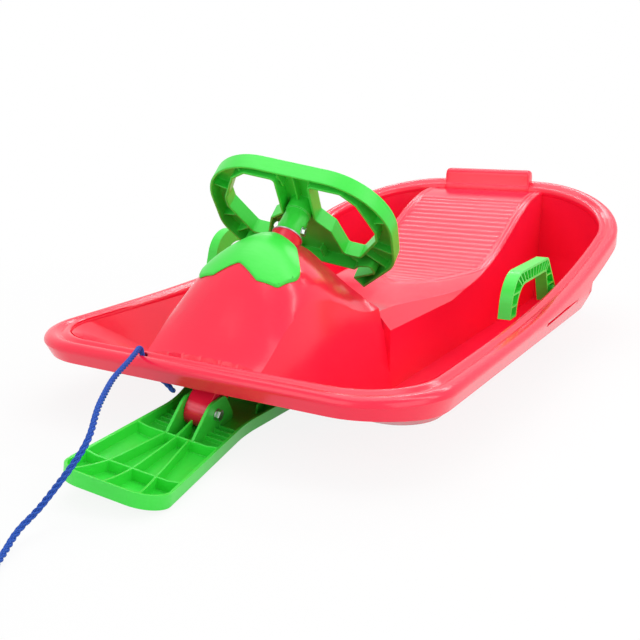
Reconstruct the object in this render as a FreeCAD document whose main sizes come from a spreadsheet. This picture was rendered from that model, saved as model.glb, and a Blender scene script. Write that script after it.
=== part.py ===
import FreeCAD, Part
import math
import os

import Sketcher
from FreeCAD import Placement, Rotation, Vector

# Steering sled: a moulded tub for one child, a raked steering post with a wheel above
# and a short ski below, a brake lever on each side and a tow rope at the front.
# The sled faces -Y, its left side is +X, and it stands on Z = 0.

doc = FreeCAD.newDocument("steering_sled")
sheet = doc.addObject("Spreadsheet::Sheet", "sizes")

SIZES = {
    # Tub: outline of the rim seen from above, and the height of the rim
    "hull_length": 820,
    "hull_half_front": 233,
    "hull_half_rear": 243,
    "front_corner": 85,
    "stern_corner": 170,
    "rim_front_z": 78,
    "rim_stern_z": 192,
    "rim_power": 3.2,
    "rim_width": 23,
    "lip_height": 21,
    "wall": 3,
    # Tub: floor, and the deep skirt along the sides
    "floor_side_inset": 62,
    "floor_front_inset": 148,
    "floor_stern_inset": 34,
    "shoulder_z": 75,
    "skirt_foot_inset": 10,
    "skirt_foot_z": 52,
    "skirt_front_run": 70,
    "skirt_stern_gap": 285,
    # Hood: places behind the front rim, half widths and heights of its cross-sections
    "hood_foot": 104,
    "nose_back": 20,
    "nose_half": 66,
    "nose_drop": 6,
    "brow_back": 66,
    "brow_half": 68,
    "brow_z": 104,
    "brow_crown": 24,
    "crest_back": 126,
    "crest_half": 70,
    "crest_z": 122,
    "crest_crown": 57,
    "crest_pitch": 0.35,
    "neck_back": 178,
    "neck_half": 74,
    "neck_z": 106,
    "neck_crown": 65,
    "neck_pitch": 0.8,
    "knee_back": 236,
    "knee_half": 83,
    "knee_z": 97,
    "knee_crown": 64,
    "knee_pitch": 1,
    "cowl_back": 198,
    "cowl_lag": 34,
    "cowl_foot": 72,
    # Seat moulded into the tub, and the raised grip over the stern rim
    "seat_back": 235,
    "seat_front_half": 95,
    "seat_wide_back": 420,
    "seat_half": 96,
    "seat_front_z": 90,
    "seat_mid_back": 350,
    "seat_mid_z": 83,
    "seat_dip_back": 470,
    "seat_dip_z": 79,
    "seat_bend_back": 610,
    "seat_bend_z": 116,
    "seat_top_back": 722,
    "seat_top_z": 164,
    "seat_stern_z": 174,
    "hip_fall": 1.1,
    "hip_front_back": 205,
    "hip_front_z": 70.5,
    "hip_mid_back": 410,
    "hip_mid_z": 70.5,
    "hip_end_back": 490,
    "hip_end_z": 82,
    "seat_border": 10,
    "seat_recess": 1.2,
    "grip_half": 72,
    "grip_depth": 20,
    "grip_rise": 16,
    "grip_drop": 14,
    "grip_round": 8,
    # Hood cap: a thin shaped cover on the front of the hood
    "cap_front_back": 83,
    "cap_notch": 9,
    "cap_lobe_half": 26,
    "cap_front_half": 47,
    "cap_side_back": 112,
    "cap_half": 58,
    "cap_rear_back": 152,
    "cap_rear_half": 28,
    "cap_round": 7,
    "cap_side_round": 17,
    "cap_thick": 2.5,
    "cap_gap": 0.3,
    # Steering column: raked post, its sleeve in the hood, and the running clearances
    "rake": 46,
    "steer_shown": 14,
    "ski_bolt_back": 28,
    "ski_bolt_z": 29,
    "post_dia": 22,
    "post_gap": 0.08,
    "sleeve_wall": 4.5,
    "sleeve_low": 112,
    "sleeve_top": 208,
    "slab_thick": 23,
    "slab_width": 32,
    "slab_gap": 0.8,
    "spigot_dia": 17,
    "spigot_length": 32,
    "spigot_gap": 0.1,
    "washer_thick": 1.5,
    "washer_dia": 34,
    "washer_room": 2,
    "face_gap": 0.3,
    # Steering wheel: a hollow ribbed ring with two grips, open towards the front
    "hub_base_dia": 29,
    "hub_top_dia": 25,
    "hub_flat": 12.5,
    "wheel_rise": 29,
    "wheel_depth": 18,
    "wheel_half": 106,
    "wheel_top": 63,
    "wheel_elbow": 56,
    "wheel_bottom": 131,
    "wheel_chin_half": 54,
    "wheel_shoulder_round": 70,
    "wheel_elbow_round": 45,
    "wheel_wall": 2.8,
    "wheel_rib": 2.2,
    "wheel_rib_depth": 12,
    "wheel_rib_count": 12,
    "window_inner": 20,
    "window_roof": 49,
    "window_brow": 53,
    "window_cheek": 69,
    "window_cheek_up": 36,
    "window_reach": 86,
    "window_side": 2,
    "window_side_low": 16,
    "window_sill_in": 47,
    "window_sill_out": 65,
    "window_low": 54,
    "window_heel": 36,
    "window_heel_low": 18,
    "window_foot": 4,
    "window_round": 4,
    "throat_low": 83,
    "throat_half": 56,
    "notch_near": 62,
    "notch_up": 75,
    "notch_far": 75,
    "notch_top": 70,
    "notch_round": 2.5,
    "hook_root": 79,
    "hook_root_low": 79,
    "hook_half": 52,
    "hook_low": 100,
    "hook_slope": 48,
    # Cross bolts: wheel bolt and ski bolt, with hexagon heads and nuts
    "wheel_bolt_dia": 5,
    "wheel_bolt_up": 9,
    "wheel_hex": 8,
    "wheel_head": 3.5,
    "wheel_nut_height": 4,
    "wheel_washer_dia": 10,
    "ski_bolt_dia": 6,
    "ski_hex": 10,
    "ski_head": 4,
    "ski_nut_height": 5,
    "ski_washer_dia": 12,
    "bolt_gap": 0.05,
    "bolt_washer_thick": 1,
    "bolt_end": 1.5,
    # Ski: shallow ribbed tray with a turned-up tip and two cheeks for the post
    "ski_reach": 132,
    "ski_length": 276,
    "ski_front_half": 49,
    "ski_waist_half": 40,
    "ski_waist_run": 176,
    "ski_rear_half": 58,
    "ski_front_round": 26,
    "ski_waist_round": 160,
    "ski_rear_round": 14,
    "ski_drop": 22,
    "ski_edge_half": 30,
    "ski_edge_slope": 0.19,
    "ski_height": 13.5,
    "ski_tip_rise": 9,
    "ski_tip_run": 60,
    "ski_tail_rise": 5,
    "ski_tail_run": 120,
    "ski_wall": 3,
    "ski_rib": 2.2,
    "rib_front_run": 43,
    "rib_middle_run": 115,
    "fan_start": 12,
    "fan_middle": 22.5,
    "fan_front": 32,
    "slat_pitch": 9,
    "slat_height": 7,
    "slat_count": 4,
    "grid_back": 28,
    "grid_pitch": 30,
    "cheek_thick": 3,
    "cheek_gap": 0.4,
    "cheek_front": 42,
    "cheek_rear": 38,
    "cheek_crown": 15,
    "fin_end": 19,
    # Brakes: handle inside the tub, claw outside the inner wall, joined on a square axle
    "brake_back": 472,
    "brake_z": 83,
    "brake_half": "=hull_half_front + (hull_half_rear - hull_half_front) * brake_back / hull_length",
    "handle_gap": 6.75,
    "handle_thick": 14,
    "handle_x": "=brake_half - rim_width - wall - handle_gap - handle_thick",
    "handle_reach": 172,
    "handle_lean": 8,
    "handle_rise": 48,
    "handle_bar": 16,
    "handle_leg": 18,
    "handle_top_end": 32,
    "handle_foot_end": 14,
    "handle_heel": 17,
    "handle_round": 38,
    "handle_recess": 8,
    "handle_wall": 2.6,
    "handle_rib": 2,
    "handle_rib_pitch": 13,
    "handle_boss": 17,
    "axle_dia": 12,
    "axle_gap": 0.08,
    "axle_square": 7,
    "axle_square_length": 10,
    "claw_gap": 1.75,
    "claw_x": "=brake_half - rim_width + claw_gap",
    "claw_thick": 5.5,
    "claw_hub": 20,
    "claw_reach": 62,
    "claw_tooth": 20,
    "slot_front": 128,
    "slot_rear": 14,
    "slot_height": 7,
    "slot_tip": 2,
    "slot_drop": 1,
    "brake_lift": 8,
    "brake_screw_dia": 4,
    "brake_screw_head": 8,
    "brake_screw_head_height": 2.5,
    "brake_screw_length": 11,
    # Tow rope, its knot under the front rim and the coil that holds the rest of it
    "rope_dia": 7,
    "rope_hole_dia": 10,
    "rope_hole_x": -61,
    "rope_hole_back": 16.5,
    "knot_ring": 6.2,
    "knot_tube": 6.4,
    "knot_gap": 1.3,
    "knot_overlap": 2,
    "knot_drop": 12.5,
    "knot_foot": 7.5,
    "knot_reach": 12,
    "coil_radius": 46,
    "coil_gap": 1.8,
    "coil_lift": 2.2,
    "coil_x": 40,
    "coil_ahead": 318,
    "tie_thick": 1,
    "tie_width": 9,
    "tie_gap": 0.4,
}

for row, (alias, number) in enumerate(SIZES.items(), 1):
    sheet.set(f"A{row}", alias)
    sheet.set(f"B{row}", str(number))
    sheet.setAlias(f"B{row}", alias)
doc.recompute()


def size(alias):
    """One driving size, read from the sheet."""
    return float(getattr(sheet, alias))


HALF_LENGTH = size("hull_length") / 2
FRONT = -HALF_LENGTH
WALL = size("wall")
# Heights well above and below every piece, for cutting tools
SKY = 260.0
BELOW = 30.0
nodes = []


def keep(piece, label, base=Vector(), rotation=Rotation()):
    """Name a finished piece and put it in its place."""
    piece.Label = label
    piece.Placement = Placement(base, rotation)
    nodes.append(piece)


def feature(label, shape, base=Vector(), rotation=Rotation()):
    """A piece whose shape is worked out from the sheet."""
    piece = doc.addObject("Part::Feature", label)
    piece.Shape = shape
    keep(piece, label, base, rotation)


# Plane geometry shared by the pieces

def rounded(points, radii, level=0.0):
    """Closed wire through corner points at one level, each corner rounded by its radius."""
    corners = [Vector(x, y, level) for x, y in points]
    bends = []
    for k, corner in enumerate(corners):
        back = (corners[k - 1] - corner).normalize()
        ahead = (corners[(k + 1) % len(corners)] - corner).normalize()
        half = back.getAngle(ahead) / 2
        reach = radii[k] / math.tan(half)
        depth = radii[k] / math.sin(half) - radii[k]
        inward = (back + ahead).normalize()
        bends.append((corner + back * reach, corner + inward * depth, corner + ahead * reach))
    edges = []
    for k, (first, middle, last) in enumerate(bends):
        if radii[k] > 0:
            edges.append(Part.Arc(first, middle, last).toShape())
        following = bends[(k + 1) % len(bends)][0]
        if last.distanceToPoint(following) > 1e-6:
            edges.append(Part.LineSegment(last, following).toShape())
    return Part.Wire(edges)


def mirrored(points):
    """Outline of one side's points and their mirror images, going round once."""
    return points + [(-x, y) for x, y in reversed(points)]


def flat(points, radius=0.0):
    """Plane face of an outline with equal corners."""
    return Part.Face(rounded(points, [radius] * len(points)))


def strip(start, end, width):
    """Plane face of a straight strip between two points."""
    along = Vector(end[0] - start[0], end[1] - start[1], 0).normalize() * (width / 2)
    x, y = -along.y, along.x
    return flat([(start[0] + x, start[1] + y), (start[0] - x, start[1] - y),
                 (end[0] - x, end[1] - y), (end[0] + x, end[1] + y)])


def box(x0, x1, y0, y1, z0, z1):
    """Box between two corners."""
    return Part.makeBox(x1 - x0, y1 - y0, z1 - z0, Vector(x0, y0, z0))


# Turns a face drawn in X and Y into the lengthwise plane of Y and Z
LENGTHWISE = Rotation(Vector(0, 1, 0), Vector(0, 0, 1), Vector(1, 0, 0), "ZXY")


def upright(points, radii, x0, x1):
    """Solid of one outline drawn in the lengthwise plane (Y, Z), from x0 to x1."""
    face = Part.Face(rounded(points, radii))
    face.Placement = Placement(Vector(x0, 0, 0), LENGTHWISE)
    return face.extrude(Vector(x1 - x0, 0, 0))


def below_path(edges, half_width):
    """Everything under a lengthwise path of edges drawn at -half_width."""
    first = edges[0].Vertexes[0].Point
    last = edges[-1].Vertexes[-1].Point
    feet = [Vector(last.x, last.y, -BELOW), Vector(first.x, first.y, -BELOW)]
    sides = [(last, feet[0]), (feet[0], feet[1]), (feet[1], first)]
    outline = edges + [Part.LineSegment(start, end).toShape() for start, end in sides]
    return Part.Face(Part.Wire(outline)).extrude(Vector(2 * half_width, 0, 0))


def below_curve(stations, half_width):
    """Everything under a smooth lengthwise curve through (y, z) stations."""
    curve = Part.BSplineCurve()
    curve.interpolate([Vector(-half_width, y, z) for y, z in stations])
    return below_path([curve.toShape()], half_width)


# Sketched pieces

def sketch_on(body, name, role, level="0", rise="0"):
    """Sketch on one of a body's own planes, moved off it and along it by bound sizes."""
    plane = next(item for item in body.Origin.OriginFeatures if item.Role == role)
    sketch = body.newObject("Sketcher::SketchObject", name)
    sketch.AttachmentSupport = (plane, [""])
    sketch.MapMode = "FlatFace"
    sketch.setExpression("AttachmentOffset.Base.z", level)
    sketch.setExpression("AttachmentOffset.Base.y", rise)
    return sketch


def add_circle(sketch, diameter):
    """Circle about the sketch's origin with a bound diameter."""
    start = 1.0 + sketch.GeometryCount
    index = sketch.addGeometry(Part.Circle(Vector(), Vector(0, 0, 1), start), False)
    sketch.addConstraint(Sketcher.Constraint("Coincident", index, 3, -1, 1))
    mark = sketch.addConstraint(Sketcher.Constraint("Diameter", index, 2 * start))
    sketch.setExpression(f"Constraints[{mark}]", diameter)


def add_wires(sketch, wires):
    """Lines and arcs of closed wires drawn at level zero."""
    for wire in wires:
        for edge in wire.OrderedEdges:
            start, end = edge.ParameterRange
            if isinstance(edge.Curve, Part.Line):
                sketch.addGeometry(Part.LineSegment(edge.valueAt(start), edge.valueAt(end)), False)
            elif edge.isClosed():
                sketch.addGeometry(edge.Curve, False)
            else:
                sketch.addGeometry(Part.ArcOfCircle(edge.Curve, start, end), False)


def extrude(body, kind, sketch, length, reverse=False, symmetric=False):
    """Pad or pocket of a sketch with a bound length."""
    step = body.newObject(f"PartDesign::{kind}", f"{sketch.Name}_{kind.lower()}")
    step.Profile = sketch
    step.setExpression("Length", length)
    step.Reversed = reverse
    if symmetric:
        step.SideType = "Symmetric"
    sketch.Visibility = False
    return step


def round_step(body, kind, name, role, diameter, length, level="0", rise="0", reverse=False, symmetric=False):
    """Round pad or pocket."""
    sketch = sketch_on(body, name, role, level, rise)
    add_circle(sketch, diameter)
    extrude(body, kind, sketch, length, reverse, symmetric)


def wire_step(body, kind, name, role, wires, length, level="0", reverse=False, symmetric=False):
    """Pad or pocket of drawn wires."""
    sketch = sketch_on(body, name, role, level)
    add_wires(sketch, wires)
    extrude(body, kind, sketch, length, reverse, symmetric)


# Tub outline and rim

def plan(side, front, stern, level):
    """Plan outline at one level, inset from the rim's edge at the sides, front and stern."""
    half_front = size("hull_half_front") - side
    half_rear = size("hull_half_rear") - side
    nose = FRONT + front
    tail = HALF_LENGTH - stern
    points = [(half_front, nose), (half_rear, tail), (-half_rear, tail), (-half_front, nose)]
    bow_round = size("front_corner") - 0.6 * side
    tail_round = size("stern_corner") - side
    return rounded(points, [bow_round, tail_round, tail_round, bow_round], level)


def rim_height(y):
    """Height of the rim's crest: level at the front, rising ever faster to the stern."""
    share = min(max((y - FRONT) / size("hull_length"), 0.0), 1.0)
    return size("rim_front_z") + (size("rim_stern_z") - size("rim_front_z")) * share ** size("rim_power")


def under_rim(drop):
    """Everything below the rim's crest, lowered by drop."""
    count = 9
    spill = 20.0
    stations = [(FRONT - spill, rim_height(FRONT) - drop)]
    for k in range(count):
        y = FRONT + size("hull_length") * k / (count - 1)
        stations.append((y, rim_height(y) - drop))
    stations.append((HALF_LENGTH + spill, rim_height(HALF_LENGTH) - drop + spill / 2))
    return below_curve(stations, size("hull_half_rear") + spill)


def tub_solid(thinner):
    """Body of the tub: prow, floor and walls, drawn in by a wall's thickness for the inside."""
    foot = plan(size("floor_side_inset") + thinner, size("floor_front_inset") + thinner,
                size("floor_stern_inset") + thinner, thinner)
    shelf_inset = size("rim_width") + thinner
    shelf = plan(shelf_inset, shelf_inset, shelf_inset, size("shoulder_z"))
    top = plan(shelf_inset, shelf_inset, shelf_inset, SKY)
    return Part.makeLoft([foot, shelf, top], True, True)


def skirt_solid(thinner):
    """Outer skin of the rim and side skirts, drawn in by a wall's thickness for the inside."""
    foot_inset = size("skirt_foot_inset") + thinner
    foot = plan(foot_inset, foot_inset, foot_inset, size("skirt_foot_z"))
    shelf = plan(thinner, thinner, thinner, size("shoulder_z"))
    top = plan(thinner, thinner, thinner, SKY)
    return Part.makeLoft([foot, shelf, top], True, True)


def skirt_cutter():
    """Space below the skirt: a short lip at the bow and stern, deep along the sides."""
    far = size("hull_half_rear") + BELOW
    lip_z = size("rim_front_z") - size("lip_height")
    low = size("skirt_foot_z")
    run = FRONT + size("skirt_front_run")
    end = HALF_LENGTH - size("skirt_stern_gap")
    points = [(FRONT - BELOW, -BELOW), (FRONT - BELOW, lip_z), (FRONT, lip_z), (run, low),
              (HALF_LENGTH + BELOW, low), (HALF_LENGTH + BELOW, -BELOW)]
    side = upright(points, [0] * len(points), -far, far)
    stern = under_rim(size("lip_height")).common(box(-far, far, end, HALF_LENGTH + BELOW, -BELOW, SKY))
    return side.fuse(stern)


# Hood and seat, one hollow spine along the middle of the tub

HOOD_STATIONS = ("crest", "neck", "knee")


def hood_top(half, height, crown, pitch, y):
    """Top line of a hood section: round where pitch is 0, roofed with a soft ridge where it is 1."""
    bow = (half ** 2 + crown ** 2) / (2 * crown)
    ridge = 0.18
    eaves = 1 + ridge - math.sqrt(1 + ridge ** 2)
    points = []
    for k in range(-6, 7):
        share = k / 6
        arch = math.sqrt(bow ** 2 - (share * half) ** 2) - bow + crown
        roof = (1 + ridge - math.sqrt(share ** 2 + ridge ** 2) - eaves) / (1 - eaves)
        points.append(Vector(share * half, y, height + (1 - pitch) * arch + pitch * roof * crown))
    line = Part.BSplineCurve()
    line.interpolate(points)
    return line.toShape()


def hood_solid(grow):
    """Hood from the front rim over its crest to the cowl, grown by a skin's thickness."""
    nose_z = size("rim_front_z") - size("nose_drop")
    rows = [(size("nose_back") - grow, size("nose_half"), nose_z, size("nose_drop") / 2, 0),
            (size("brow_back"), size("brow_half"), size("brow_z"), size("brow_crown"), 0)]
    for name in HOOD_STATIONS:
        rows.append([size(f"{name}_{measure}") for measure in ("back", "half", "z", "crown", "pitch")])
    sections = []
    foot = size("hood_foot") + grow
    for back, half, height, crown, pitch in rows:
        y = FRONT + back
        left = Vector(-half - grow, y, height + grow)
        right = Vector(half + grow, y, height + grow)
        low_left = Vector(-foot, y, -BELOW)
        low_right = Vector(foot, y, -BELOW)
        sections.append(Part.Wire([
            Part.LineSegment(low_left, left).toShape(),
            hood_top(half + grow, height + grow, crown, pitch, y),
            Part.LineSegment(right, low_right).toShape(),
            Part.LineSegment(low_right, low_left).toShape(),
        ]))
    return Part.makeLoft(sections, True, False).cut(cowl_notch(grow))


def cowl_notch(grow):
    """Space behind the hood, cut back to the column in a shallow V down to the seat's level."""
    wide = size("hood_foot") + BELOW
    apex = FRONT + size("cowl_back") + grow
    lag = size("cowl_lag") / size("knee_half")
    far = FRONT + size("knee_back") + BELOW
    notch = flat([(0, apex), (wide, apex + lag * wide), (wide, far + wide), (-wide, far + wide),
                  (-wide, apex + lag * wide)]).extrude(Vector(0, 0, SKY))
    notch.translate(Vector(0, 0, size("cowl_foot") + grow))
    return notch


def seat_curve(drop):
    """Everything below the seat's middle line, lowered and narrowed by drop."""
    stations = [
        (FRONT + size("seat_back") + drop, size("seat_front_z") - drop),
        (FRONT + size("seat_mid_back"), size("seat_mid_z") - drop),
        (FRONT + size("seat_dip_back"), size("seat_dip_z") - drop),
        (FRONT + size("seat_bend_back"), size("seat_bend_z") - drop),
        (FRONT + size("seat_top_back"), size("seat_top_z") - drop),
        (HALF_LENGTH - size("rim_width"), size("seat_stern_z") - drop),
    ]
    front, half = size("seat_front_half") - drop, size("seat_half") - drop
    side = [(front, FRONT), (front, FRONT + size("seat_back")), (half, FRONT + size("seat_wide_back")),
            (half, HALF_LENGTH)]
    column = flat(mirrored(side)).extrude(Vector(0, 0, SKY + BELOW))
    column.translate(Vector(0, 0, -BELOW))
    return below_curve(stations, half + BELOW).common(column).cut([hip_cutter(1, drop), hip_cutter(-1, drop)])


def hip_cutter(side, drop):
    """Sloping hip along the seat's side, broad beside the hood and running out towards the brake."""
    reach, fall, wide = size("hood_foot"), size("hip_fall"), size("seat_half") - drop
    top = size("seat_bend_z")
    sections = []
    for place in ("front", "mid", "end"):
        y = FRONT + size(f"hip_{place}_back")
        x = wide - (top - size(f"hip_{place}_z") + drop) / fall
        corners = [Vector(side * x, y, top), Vector(side * (x + reach), y, top),
                   Vector(side * (x + reach), y, top - reach * fall)]
        sections.append(Part.makePolygon(corners + corners[:1]))
    return Part.makeLoft(sections, True, True)


def seat_recess():
    """Shallow sunk field inside the seat's border."""
    half = size("seat_half") - size("seat_border")
    field = box(-half, half, FRONT + size("seat_wide_back"), FRONT + size("seat_top_back"), 0, SKY)
    return seat_curve(0).cut(seat_curve(size("seat_recess"))).common(field)


def hollow_below():
    """Hollow under the hood and seat, open towards the snow."""
    stern = HALF_LENGTH - size("rim_width") - 2 * WALL
    seat = seat_curve(WALL).common(box(-SKY, SKY, FRONT, stern, -BELOW, SKY))
    return hood_solid(-WALL).fuse(seat)


def grip_shell():
    """Raised grip that wraps over the stern rim, a bent sheet open below."""
    half = size("grip_half")
    rear = HALF_LENGTH - 2 * WALL
    front = rear - size("grip_depth")
    top = size("rim_stern_z") + size("grip_rise")
    low = size("rim_stern_z") - size("grip_drop")
    bend = size("grip_round")
    outer = upright([(front, low), (front, top), (rear, top), (rear, low)], [0, bend, bend, 0], -half, half)
    inner = upright([(front + WALL, low - WALL), (front + WALL, top - WALL), (rear - WALL, top - WALL),
                     (rear - WALL, low - WALL)], [0, bend - WALL, bend - WALL, 0], -half + WALL, half - WALL)
    return outer.cut(inner)


# Steering column frame: Z up along the post, Y square to it towards the seat, zero at the ski's bolt
BOLT_Y = FRONT + size("ski_bolt_back")
BOLT_Z = size("ski_bolt_z")
COLUMN_BASE = Vector(0, BOLT_Y, BOLT_Z)
COLUMN_TURN = Rotation(Vector(1, 0, 0), -size("rake"))
COLUMN_AXIS = COLUMN_TURN.multVec(Vector(0, 0, 1))
# The wheel and the ski stand turned a little about the column, the ski's tip towards the left
STEER = Rotation(COLUMN_AXIS, size("steer_shown"))
STEERED = STEER.multiply(COLUMN_TURN)


def column_cylinder(diameter, low, high):
    """Round bar on the column's axis."""
    bar = Part.makeCylinder(diameter / 2, high - low, Vector(0, 0, low))
    bar.Placement = Placement(COLUMN_BASE, COLUMN_TURN)
    return bar


SLEEVE_DIA = size("post_dia") + 2 * size("post_gap")
SLEEVE_OUTER = SLEEVE_DIA + 2 * size("sleeve_wall")
SLEEVE_TOP = size("sleeve_top")
WASHER_ROOM = size("washer_dia") + size("washer_room")

# Brake frame: pivot of the levers behind the front rim
BRAKE_Y = FRONT + size("brake_back")
BRAKE_Z = size("brake_z")


def brake_cutter(side):
    """Bore for a brake's axle in the inner wall, and the wedge-shaped slot beside its claw."""
    near = side * size("claw_x")
    far = side * (size("hull_half_rear") + BELOW)
    bore = Part.makeCylinder(size("axle_dia") / 2 + size("axle_gap"), BELOW,
                             Vector(near - side * BELOW, BRAKE_Y, BRAKE_Z), Vector(side, 0, 0))
    front = BRAKE_Y - size("slot_front")
    rear = BRAKE_Y + size("slot_rear")
    top = BRAKE_Z - size("slot_drop")
    wedge = [(front, top), (rear, top), (rear, top - size("slot_tip")), (front, top - size("slot_height"))]
    return bore.fuse(upright(wedge, [0] * len(wedge), min(near, far), max(near, far)))


def hull():
    """The one-piece tub with its rim, skirts, hood, seat, column sleeve and holes."""
    inside = tub_solid(WALL)
    outside = tub_solid(0)
    shell = outside.cut(inside).common(under_rim(WALL / 2))
    rim = skirt_solid(0).common(under_rim(0)).cut(skirt_solid(WALL).common(under_rim(WALL)))
    rim = rim.cut(inside).cut(skirt_cutter())
    spine = hood_solid(0).fuse(seat_curve(0).cut(seat_recess())).common(outside)
    body = shell
    for piece in (rim, spine, grip_shell()):
        grown = body.fuse(piece)
        assert grown.Volume > body.Volume, "a piece of the tub is lost"
        body = grown
    body = body.cut(hollow_below())
    boss = column_cylinder(WASHER_ROOM + 2 * WALL, SLEEVE_TOP - WALL, SLEEVE_TOP + BELOW)
    sleeve = column_cylinder(SLEEVE_OUTER, size("sleeve_low"), SLEEVE_TOP)
    body = body.fuse([boss.common(hood_solid(0)), sleeve])
    body = body.cut(column_cylinder(WASHER_ROOM, SLEEVE_TOP, SKY))
    body = body.cut(column_cylinder(SLEEVE_DIA, 0, SKY))
    for side in (1, -1):
        body = body.cut(brake_cutter(side))
    hole = Part.makeCylinder(size("rope_hole_dia") / 2, 2 * WALL,
                             Vector(ROPE_HOLE.x, ROPE_HOLE.y, ROPE_HOLE.z - 2 * WALL + WALL / 2))
    return body.cut(hole).removeSplitter()


ROPE_HOLE = Vector(size("rope_hole_x"), FRONT + size("rope_hole_back"), size("rim_front_z"))

feature("hull_shell", hull())


# Hood cap, a thin cover that follows the hood
def hood_cap():
    """The part of a skin over the hood that lies inside the cap's outline."""
    front = FRONT + size("cap_front_back")
    side = FRONT + size("cap_side_back")
    rear = FRONT + size("cap_rear_back")
    half = [(size("cap_rear_half"), rear), (size("cap_half"), side),
            (size("cap_front_half"), front + size("cap_notch") / 2), (size("cap_lobe_half"), front)]
    points = half + [(0, front + size("cap_notch"))] + [(-x, y) for x, y in reversed(half)]
    small, large = size("cap_round"), size("cap_side_round")
    bends = [large, large, small, small, small, small, small, large, large]
    prism = Part.Face(rounded(points, bends)).extrude(Vector(0, 0, SKY))
    skin = hood_solid(size("cap_gap") + size("cap_thick")).cut(hood_solid(size("cap_gap")))
    return skin.common(prism)


feature("hood_cap", hood_cap())


# Steering post: a flat slab at the ski's bolt, a round shaft in the sleeve and a spigot for the wheel
def steering_post():
    """Post drawn in the column's frame."""
    body = doc.addObject("PartDesign::Body", "steering_post")
    half = size("slab_width") / 2
    top = size("sleeve_low") - size("slab_gap")
    outline = rounded([(-half, -half), (half, -half), (half, top), (-half, top)], [half, half, 0, 0])
    wire_step(body, "Pad", "slab", "YZ_Plane", [outline], "sizes.slab_thick", symmetric=True)
    shaft_low = "sizes.sleeve_low - sizes.slab_gap"
    round_step(body, "Pad", "shaft", "XY_Plane", "sizes.post_dia",
               "sizes.sleeve_top - sizes.washer_thick - sizes.sleeve_low + sizes.slab_gap", shaft_low)
    round_step(body, "Pad", "spigot", "XY_Plane", "sizes.spigot_dia",
               "2 * sizes.washer_thick + sizes.face_gap + sizes.spigot_length",
               "sizes.sleeve_top - sizes.washer_thick")
    round_step(body, "Pocket", "ski_bolt_hole", "YZ_Plane", "sizes.ski_bolt_dia + 2 * sizes.bolt_gap",
               "2 * sizes.slab_thick", symmetric=True)
    round_step(body, "Pocket", "wheel_bolt_hole", "YZ_Plane", "sizes.wheel_bolt_dia + 2 * sizes.bolt_gap",
               "2 * sizes.slab_thick", rise=HUB_LEVEL + " + sizes.wheel_bolt_up", symmetric=True)
    keep(body, "steering_post", COLUMN_BASE, STEERED)


# Level of the hub's foot on the column
HUB_LEVEL = "sizes.sleeve_top + sizes.washer_thick + sizes.face_gap"
HUB_LOW = SLEEVE_TOP + size("washer_thick") + size("face_gap")
HUB_BASE = COLUMN_BASE + COLUMN_AXIS * HUB_LOW

steering_post()


def column_washer():
    """Flat washer between the sleeve and the hub."""
    body = doc.addObject("PartDesign::Body", "column_washer")
    sketch = sketch_on(body, "washer_ring", "XY_Plane")
    add_circle(sketch, "sizes.washer_dia")
    add_circle(sketch, "sizes.spigot_dia + 2 * sizes.face_gap")
    extrude(body, "Pad", sketch, "sizes.washer_thick")
    keep(body, "column_washer", COLUMN_BASE + COLUMN_AXIS * SLEEVE_TOP, COLUMN_TURN)


column_washer()


# Steering wheel, drawn from the foot of its hub
def wheel_face():
    """Face of the wheel: rounded ring, two upper windows and an open mouth between two hooks."""
    half, top, bottom = size("wheel_half"), size("wheel_top"), size("wheel_bottom")
    side = [(half, -top), (half, size("wheel_elbow")), (size("wheel_chin_half"), bottom)]
    bends = [size("wheel_shoulder_round"), size("wheel_elbow_round"), 0]
    face = Part.Face(rounded(mirrored(side), bends + bends[::-1]))
    window = [(size("window_inner"), -size("window_roof")), (size("window_brow"), -size("window_roof")),
              (size("window_cheek"), -size("window_cheek_up")), (size("window_reach"), size("window_side")),
              (size("window_reach"), size("window_side_low")), (size("window_sill_out"), size("window_low")),
              (size("window_sill_in"), size("window_low")), (size("window_heel"), size("window_heel_low")),
              (size("window_inner"), size("window_foot"))]
    run = (half - size("hook_half")) / size("hook_slope")
    mouth = [(size("throat_half"), size("throat_low")), (size("notch_near"), size("notch_up")),
             (size("notch_far"), size("notch_top")), (size("hook_root"), size("hook_root_low")),
             (size("hook_half"), size("hook_low")), (half, size("hook_low") + run * bottom / 2)]
    cuts = [flat(mirrored(mouth), size("notch_round"))]
    for side in (1, -1):
        cuts.append(flat([(side * x, y) for x, y in window], size("window_round")))
    return face.cut(cuts).Faces[0]


def wheel_ribs(face):
    """Thin ribs across the hollow of the ring and along the spokes."""
    half, top = size("wheel_half"), size("wheel_top")
    middle = size("window_side_low")
    width = size("wheel_rib")
    count = int(size("wheel_rib_count"))
    strips = []
    for k in range(count):
        turn = 2 * math.pi * (k + 0.5) / count
        away = (2 * half * math.cos(turn), middle + 2 * half * math.sin(turn))
        near = (half / 2 * math.cos(turn), middle + half / 2 * math.sin(turn))
        strips.append(strip(near, away, width))
    for side in (1, -1):
        strips.append(strip((0, 0), (side * half, size("throat_low")), width))
    strips.append(strip((0, -2 * top), (0, middle), width))
    hub = Part.Face(Part.Wire(Part.makeCircle(size("hub_base_dia") / 2 + width)))
    field = face.makeOffset2D(-size("wheel_wall") / 2)
    return field.common(strips[0].fuse(strips[1:])).cut(hub)


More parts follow.
